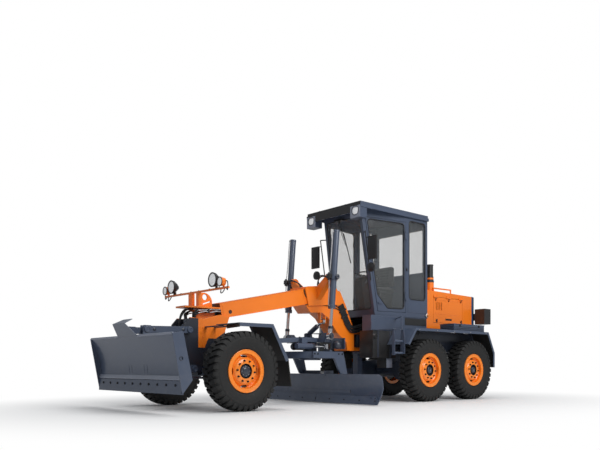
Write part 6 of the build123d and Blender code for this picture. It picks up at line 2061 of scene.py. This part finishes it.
@dataclass
class Fenders:
    """Rubber linings and flaps of the fenders, the tool box lid, the steps and the tanks' fittings."""

    patterns: Patterns

    def build(self) -> None:
        """Builds the pieces on both frames."""
        self._linings()
        self._tool_box()
        self._steps()
        self._tanks()

    def _linings(self) -> None:
        """Lines the fenders with black rubber, and makes the front ones' ends and flaps of it."""
        rear, front, flaps, guards = Shape(), Shape(), Shape(), Shape()
        for hand in HANDS:
            rear.flank(hand, [
                (1.2835, 1.0035), (1.087, 1.2815), (-1.085, 1.2755), (-1.291, 0.886), (-1.291, 0.6045),
                (-1.287, 0.6045), (-1.287, 0.885), (-1.083, 1.2715), (1.085, 1.2775),
                (1.2805, 1.0015)], (0.792, 1.166))
            front.flank(hand, [
                (4.813, 1.2125), (4.23, 1.2125), (3.95, 0.708), (3.954, 0.706), (4.2325, 1.2085),
                (4.813, 1.2085)], (0.66, 1.166))
            flaps.flank(hand, [
                (3.9375, 0.7115), (3.951, 0.7075), (3.8945, 0.332), (3.881, 0.332)], (0.763, 1.1675))
            flaps.prism([at(station, hand * y, z) for station, y, z in (
                (4.8165, 1.1765, 1.162), (4.7, 0.7, 1.162), (4.7, 0.7, 1.2125),
                (4.8165, 1.1765, 1.219))], AHEAD * -0.012)
            guards.flank(
                hand, [(1.02, 0.9), (1.08, 1.272), (-1.075, 1.268), (-1.15, 1.05), (-0.9, 0.9)],
                (0.772, 0.78))
        guards.piece("rear_inner_guards", Body.REAR, SLATE_SHADED)
        rear.piece("rear_fender_linings", Body.REAR, RUBBER_SHEET)
        front.piece("front_fender_linings", Body.FRONT, RUBBER_SHEET)
        flaps.piece("front_fender_flaps", Body.FRONT, RUBBER_SHEET)
        places = [(station, 1.1755, z) for station, z in (
            (1.0, 1.262), (0.5, 1.262), (0.0, 1.262), (-0.5, 1.262), (-1.0, 1.256))]
        self.patterns.side_bolts("rear_fender_bolts", places, 0.018, Body.REAR, STEEL)

    def _tool_box(self) -> None:
        """Gives the tool box its lid, ribs, hinges and lock."""
        Shape().slab(1, (-1.086, -0.114), (0.754, 1.086), (1.4055, 1.4215)).piece(
            "tool_box_lid", Body.REAR, SLATE, 0.004)
        ribs, locks = [], Shape()
        for z in (1.312, 1.34, 1.368):
            ribs.append([at(-1.07, 1.0805, z), at(-0.13, 1.0805, z)])
            ribs.append([at(-0.1195, 0.775, z), at(-0.1195, 1.065, z)])
        self.patterns.tubes("tool_box_ribs", ribs, 0.0055, Body.REAR, SLATE_SHADED, False)
        for station in (-0.9, -0.3):
            locks.slab(1, (station - 0.022, station + 0.022), (1.0795, 1.0905), (1.372, 1.412))
        locks.piece("tool_box_locks", Body.REAR, BLACK_PLASTIC, 0.003)

    def _steps(self) -> None:
        """Studs the rungs and clamps the grab bars."""
        places = paired([
            (1.325 + 0.034 * number, y, z) for z in (0.8683, 1.0713, 1.2583) for number in range(7)
            for y in (1.038, 1.062)])
        self.patterns.bolts("rung_studs", places, UP, 0.01, Body.REAR, STEEL)
        collars = Shape()
        for hand in HANDS:
            collars.lathe(at(1.314, hand * 1.04, 1.2585), UP, [
                (0.0122, 0), (0.022, 0), (0.022, 0.008), (0.0122, 0.012)], 24)
        collars.piece("grab_bar_collars", Body.REAR, SLATE_SHADED)

    def _tanks(self) -> None:
        """Covers the boxes under the tanks, straps the tanks and fits the filler caps."""
        covers, straps, caps = Shape(), Shape(), Shape()
        for hand in HANDS:
            covers.slab(hand, (1.082, 1.236), (0.6195, 0.624), (0.6, 0.768))
            for station in (1.18, 1.5):
                straps.slab(hand, (station, station + 0.04), (0.6795, 0.6835), (0.776, 1.246))
            caps.boss(hand, (1.6, 0.6795, 1.15), [
                (0, 0), (0.052, 0), (0.052, 0.01), (0.044, 0.016), (0.044, 0.034), (0.036, 0.04),
                (0, 0.04)])
        covers.piece("battery_box_covers", Body.REAR, LAMP_GREY, 0.003)
        straps.piece("tank_straps", Body.REAR, SLATE_SHADED, 0.001)
        caps.piece("tank_caps", Body.REAR, BLACK_PLASTIC)


@dataclass
class FrameDress:
    """Gives every CAD node that stays in view its finish."""

    special: dict[str, Finish] = field(default_factory=lambda: {"front_frame": ORANGE_HEAD})

    def build(self) -> None:
        """Puts a finish on each node by its record slot, or its own where one is named."""
        slots = {part["node"]: part["material_slot"] for part in frame["record"]["subparts"]}
        for name, node in frame["nodes"].items():
            finish = self.special.get(name, NODE_FINISH[slots[name]])
            if name.startswith("rim_"):
                finish = ORANGE_RIM
            node.data.materials.clear()
            node.data.materials.append(finish.material())


@dataclass
class Studio:
    """Pale floor, soft lights and the camera at the photograph's angle."""

    eye: Point = (7.8635, 8.5028, 0.6209)
    sight: Point = (-0.6509, -0.7591, 0.0)
    lens: float = 39.55
    sensor: float = 36.0
    horizon_row: float = 366.52
    floor_reach: float = 60.0

    def build(self) -> None:
        """Builds the floor, the lights, the world and the camera."""
        self._floor()
        self._world()
        self._softbox("Key light", (0.0, 9.5, 7.5), 6.0, 780.0)
        self._softbox("Sky light", (-0.5, 0.5, 11.0), 8.0, 520.0)
        self._softbox("Front light", (12.0, 1.0, 7.0), 4.0, 60.0)
        self._camera()

    def _floor(self) -> None:
        """Lays the floor, white far out and shaded by the machine near it."""
        bpy.ops.mesh.primitive_plane_add(size=self.floor_reach)
        floor = bpy.context.object
        floor.name = "Studio_floor"
        graph = Graph("Studio floor")
        x, y, _ = graph.axes()
        reach = ((x * x) / 36.0 + (y * y) / 20.0) ** 0.5
        far = reach.step(0.45, 1.25)
        cloud = graph.noise(1.5, 2.0)
        graph.set(Base_Color=graph.blend(cloud, rgb(0.8, 0.8, 0.8), rgb(0.82, 0.82, 0.82)))
        graph.set(Roughness=cloud * 0.05 + 0.55)
        glow = graph.node("ShaderNodeEmission", None, {"Color": rgb(1, 1, 1), "Strength": 1.0})
        path = graph.node("ShaderNodeLightPath")
        seen = Signal(graph, path.outputs["Is Camera Ray"])
        mix = graph.node(
            "ShaderNodeMixShader", None, {0: far * seen, 1: graph.shader.outputs[0], 2: glow.outputs[0]})
        graph.links.new(mix.outputs[0], graph.output.inputs["Surface"])
        floor.data.materials.append(graph.material)

    def _world(self) -> None:
        """Lights the scene from all round, and shows white to the camera and to gloss."""
        world = bpy.data.worlds.new("Studio")
        bpy.context.scene.world = world
        world.use_nodes = True
        nodes, links = world.node_tree.nodes, world.node_tree.links
        nodes.clear()
        output = nodes.new("ShaderNodeOutputWorld")
        soft = nodes.new("ShaderNodeBackground")
        soft.inputs["Color"].default_value = rgb(0.93, 0.96, 1.0)
        soft.inputs["Strength"].default_value = 0.34
        white = nodes.new("ShaderNodeBackground")
        white.inputs["Color"].default_value = rgb(1, 1, 1)
        path = nodes.new("ShaderNodeLightPath")
        either = nodes.new("ShaderNodeMath")
        either.operation = "MAXIMUM"
        mix = nodes.new("ShaderNodeMixShader")
        links.new(path.outputs["Is Camera Ray"], either.inputs[0])
        links.new(path.outputs["Is Transmission Ray"], either.inputs[1])
        links.new(either.outputs[0], mix.inputs[0])
        links.new(soft.outputs[0], mix.inputs[1])
        links.new(white.outputs[0], mix.inputs[2])
        links.new(mix.outputs[0], output.inputs[0])

    def _softbox(self, name: str, place: Point, size: float, power: float) -> None:
        """Hangs a square light that faces the machine.

        Args:
            name: Light's name.
            place: Its middle.
            size: Edge length.
            power: Watts.
        """
        light = bpy.data.lights.new(name, "AREA")
        light.shape = "SQUARE"
        light.size = size
        light.energy = power
        holder = bpy.data.objects.new(name, light)
        holder.location = place
        holder.rotation_euler = (Vector((0.0, 0.0, 1.0)) - Vector(place)).to_track_quat("-Z", "Y").to_euler()
        bpy.context.scene.collection.objects.link(holder)

    def _camera(self) -> None:
        """Sets the camera at the photograph's place, level, with the frame shifted up."""
        data = bpy.data.cameras.new("Photograph view")
        data.lens = self.lens
        data.sensor_width = self.sensor
        data.shift_y = (self.horizon_row - PHOTO_SIZE[1] / 2) / PHOTO_SIZE[0]
        camera = bpy.data.objects.new("Photograph view", data)
        camera.location = self.eye
        camera.rotation_euler = Vector(self.sight).to_track_quat("-Z", "Y").to_euler()
        bpy.context.scene.collection.objects.link(camera)
        bpy.context.scene.camera = camera


def main() -> None:
    """Builds the looks in order."""
    logging.basicConfig(level=logging.INFO, format="%(name)s: %(message)s")
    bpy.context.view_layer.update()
    bpy.context.scene.view_settings.view_transform = "Standard"
    patterns = Patterns()
    sections = (
        Studio(), FrameDress(), Wheels(patterns), CabShell(patterns), CabInside(patterns), Boom(patterns),
        LiftCylinders(patterns), BladeGear(patterns), DozerGear(patterns), Hood(patterns), Fenders(patterns))
    for section in sections:
        LOG.info("building %s", type(section).__name__)
        section.build()


if __name__ == "__main__":
    main()
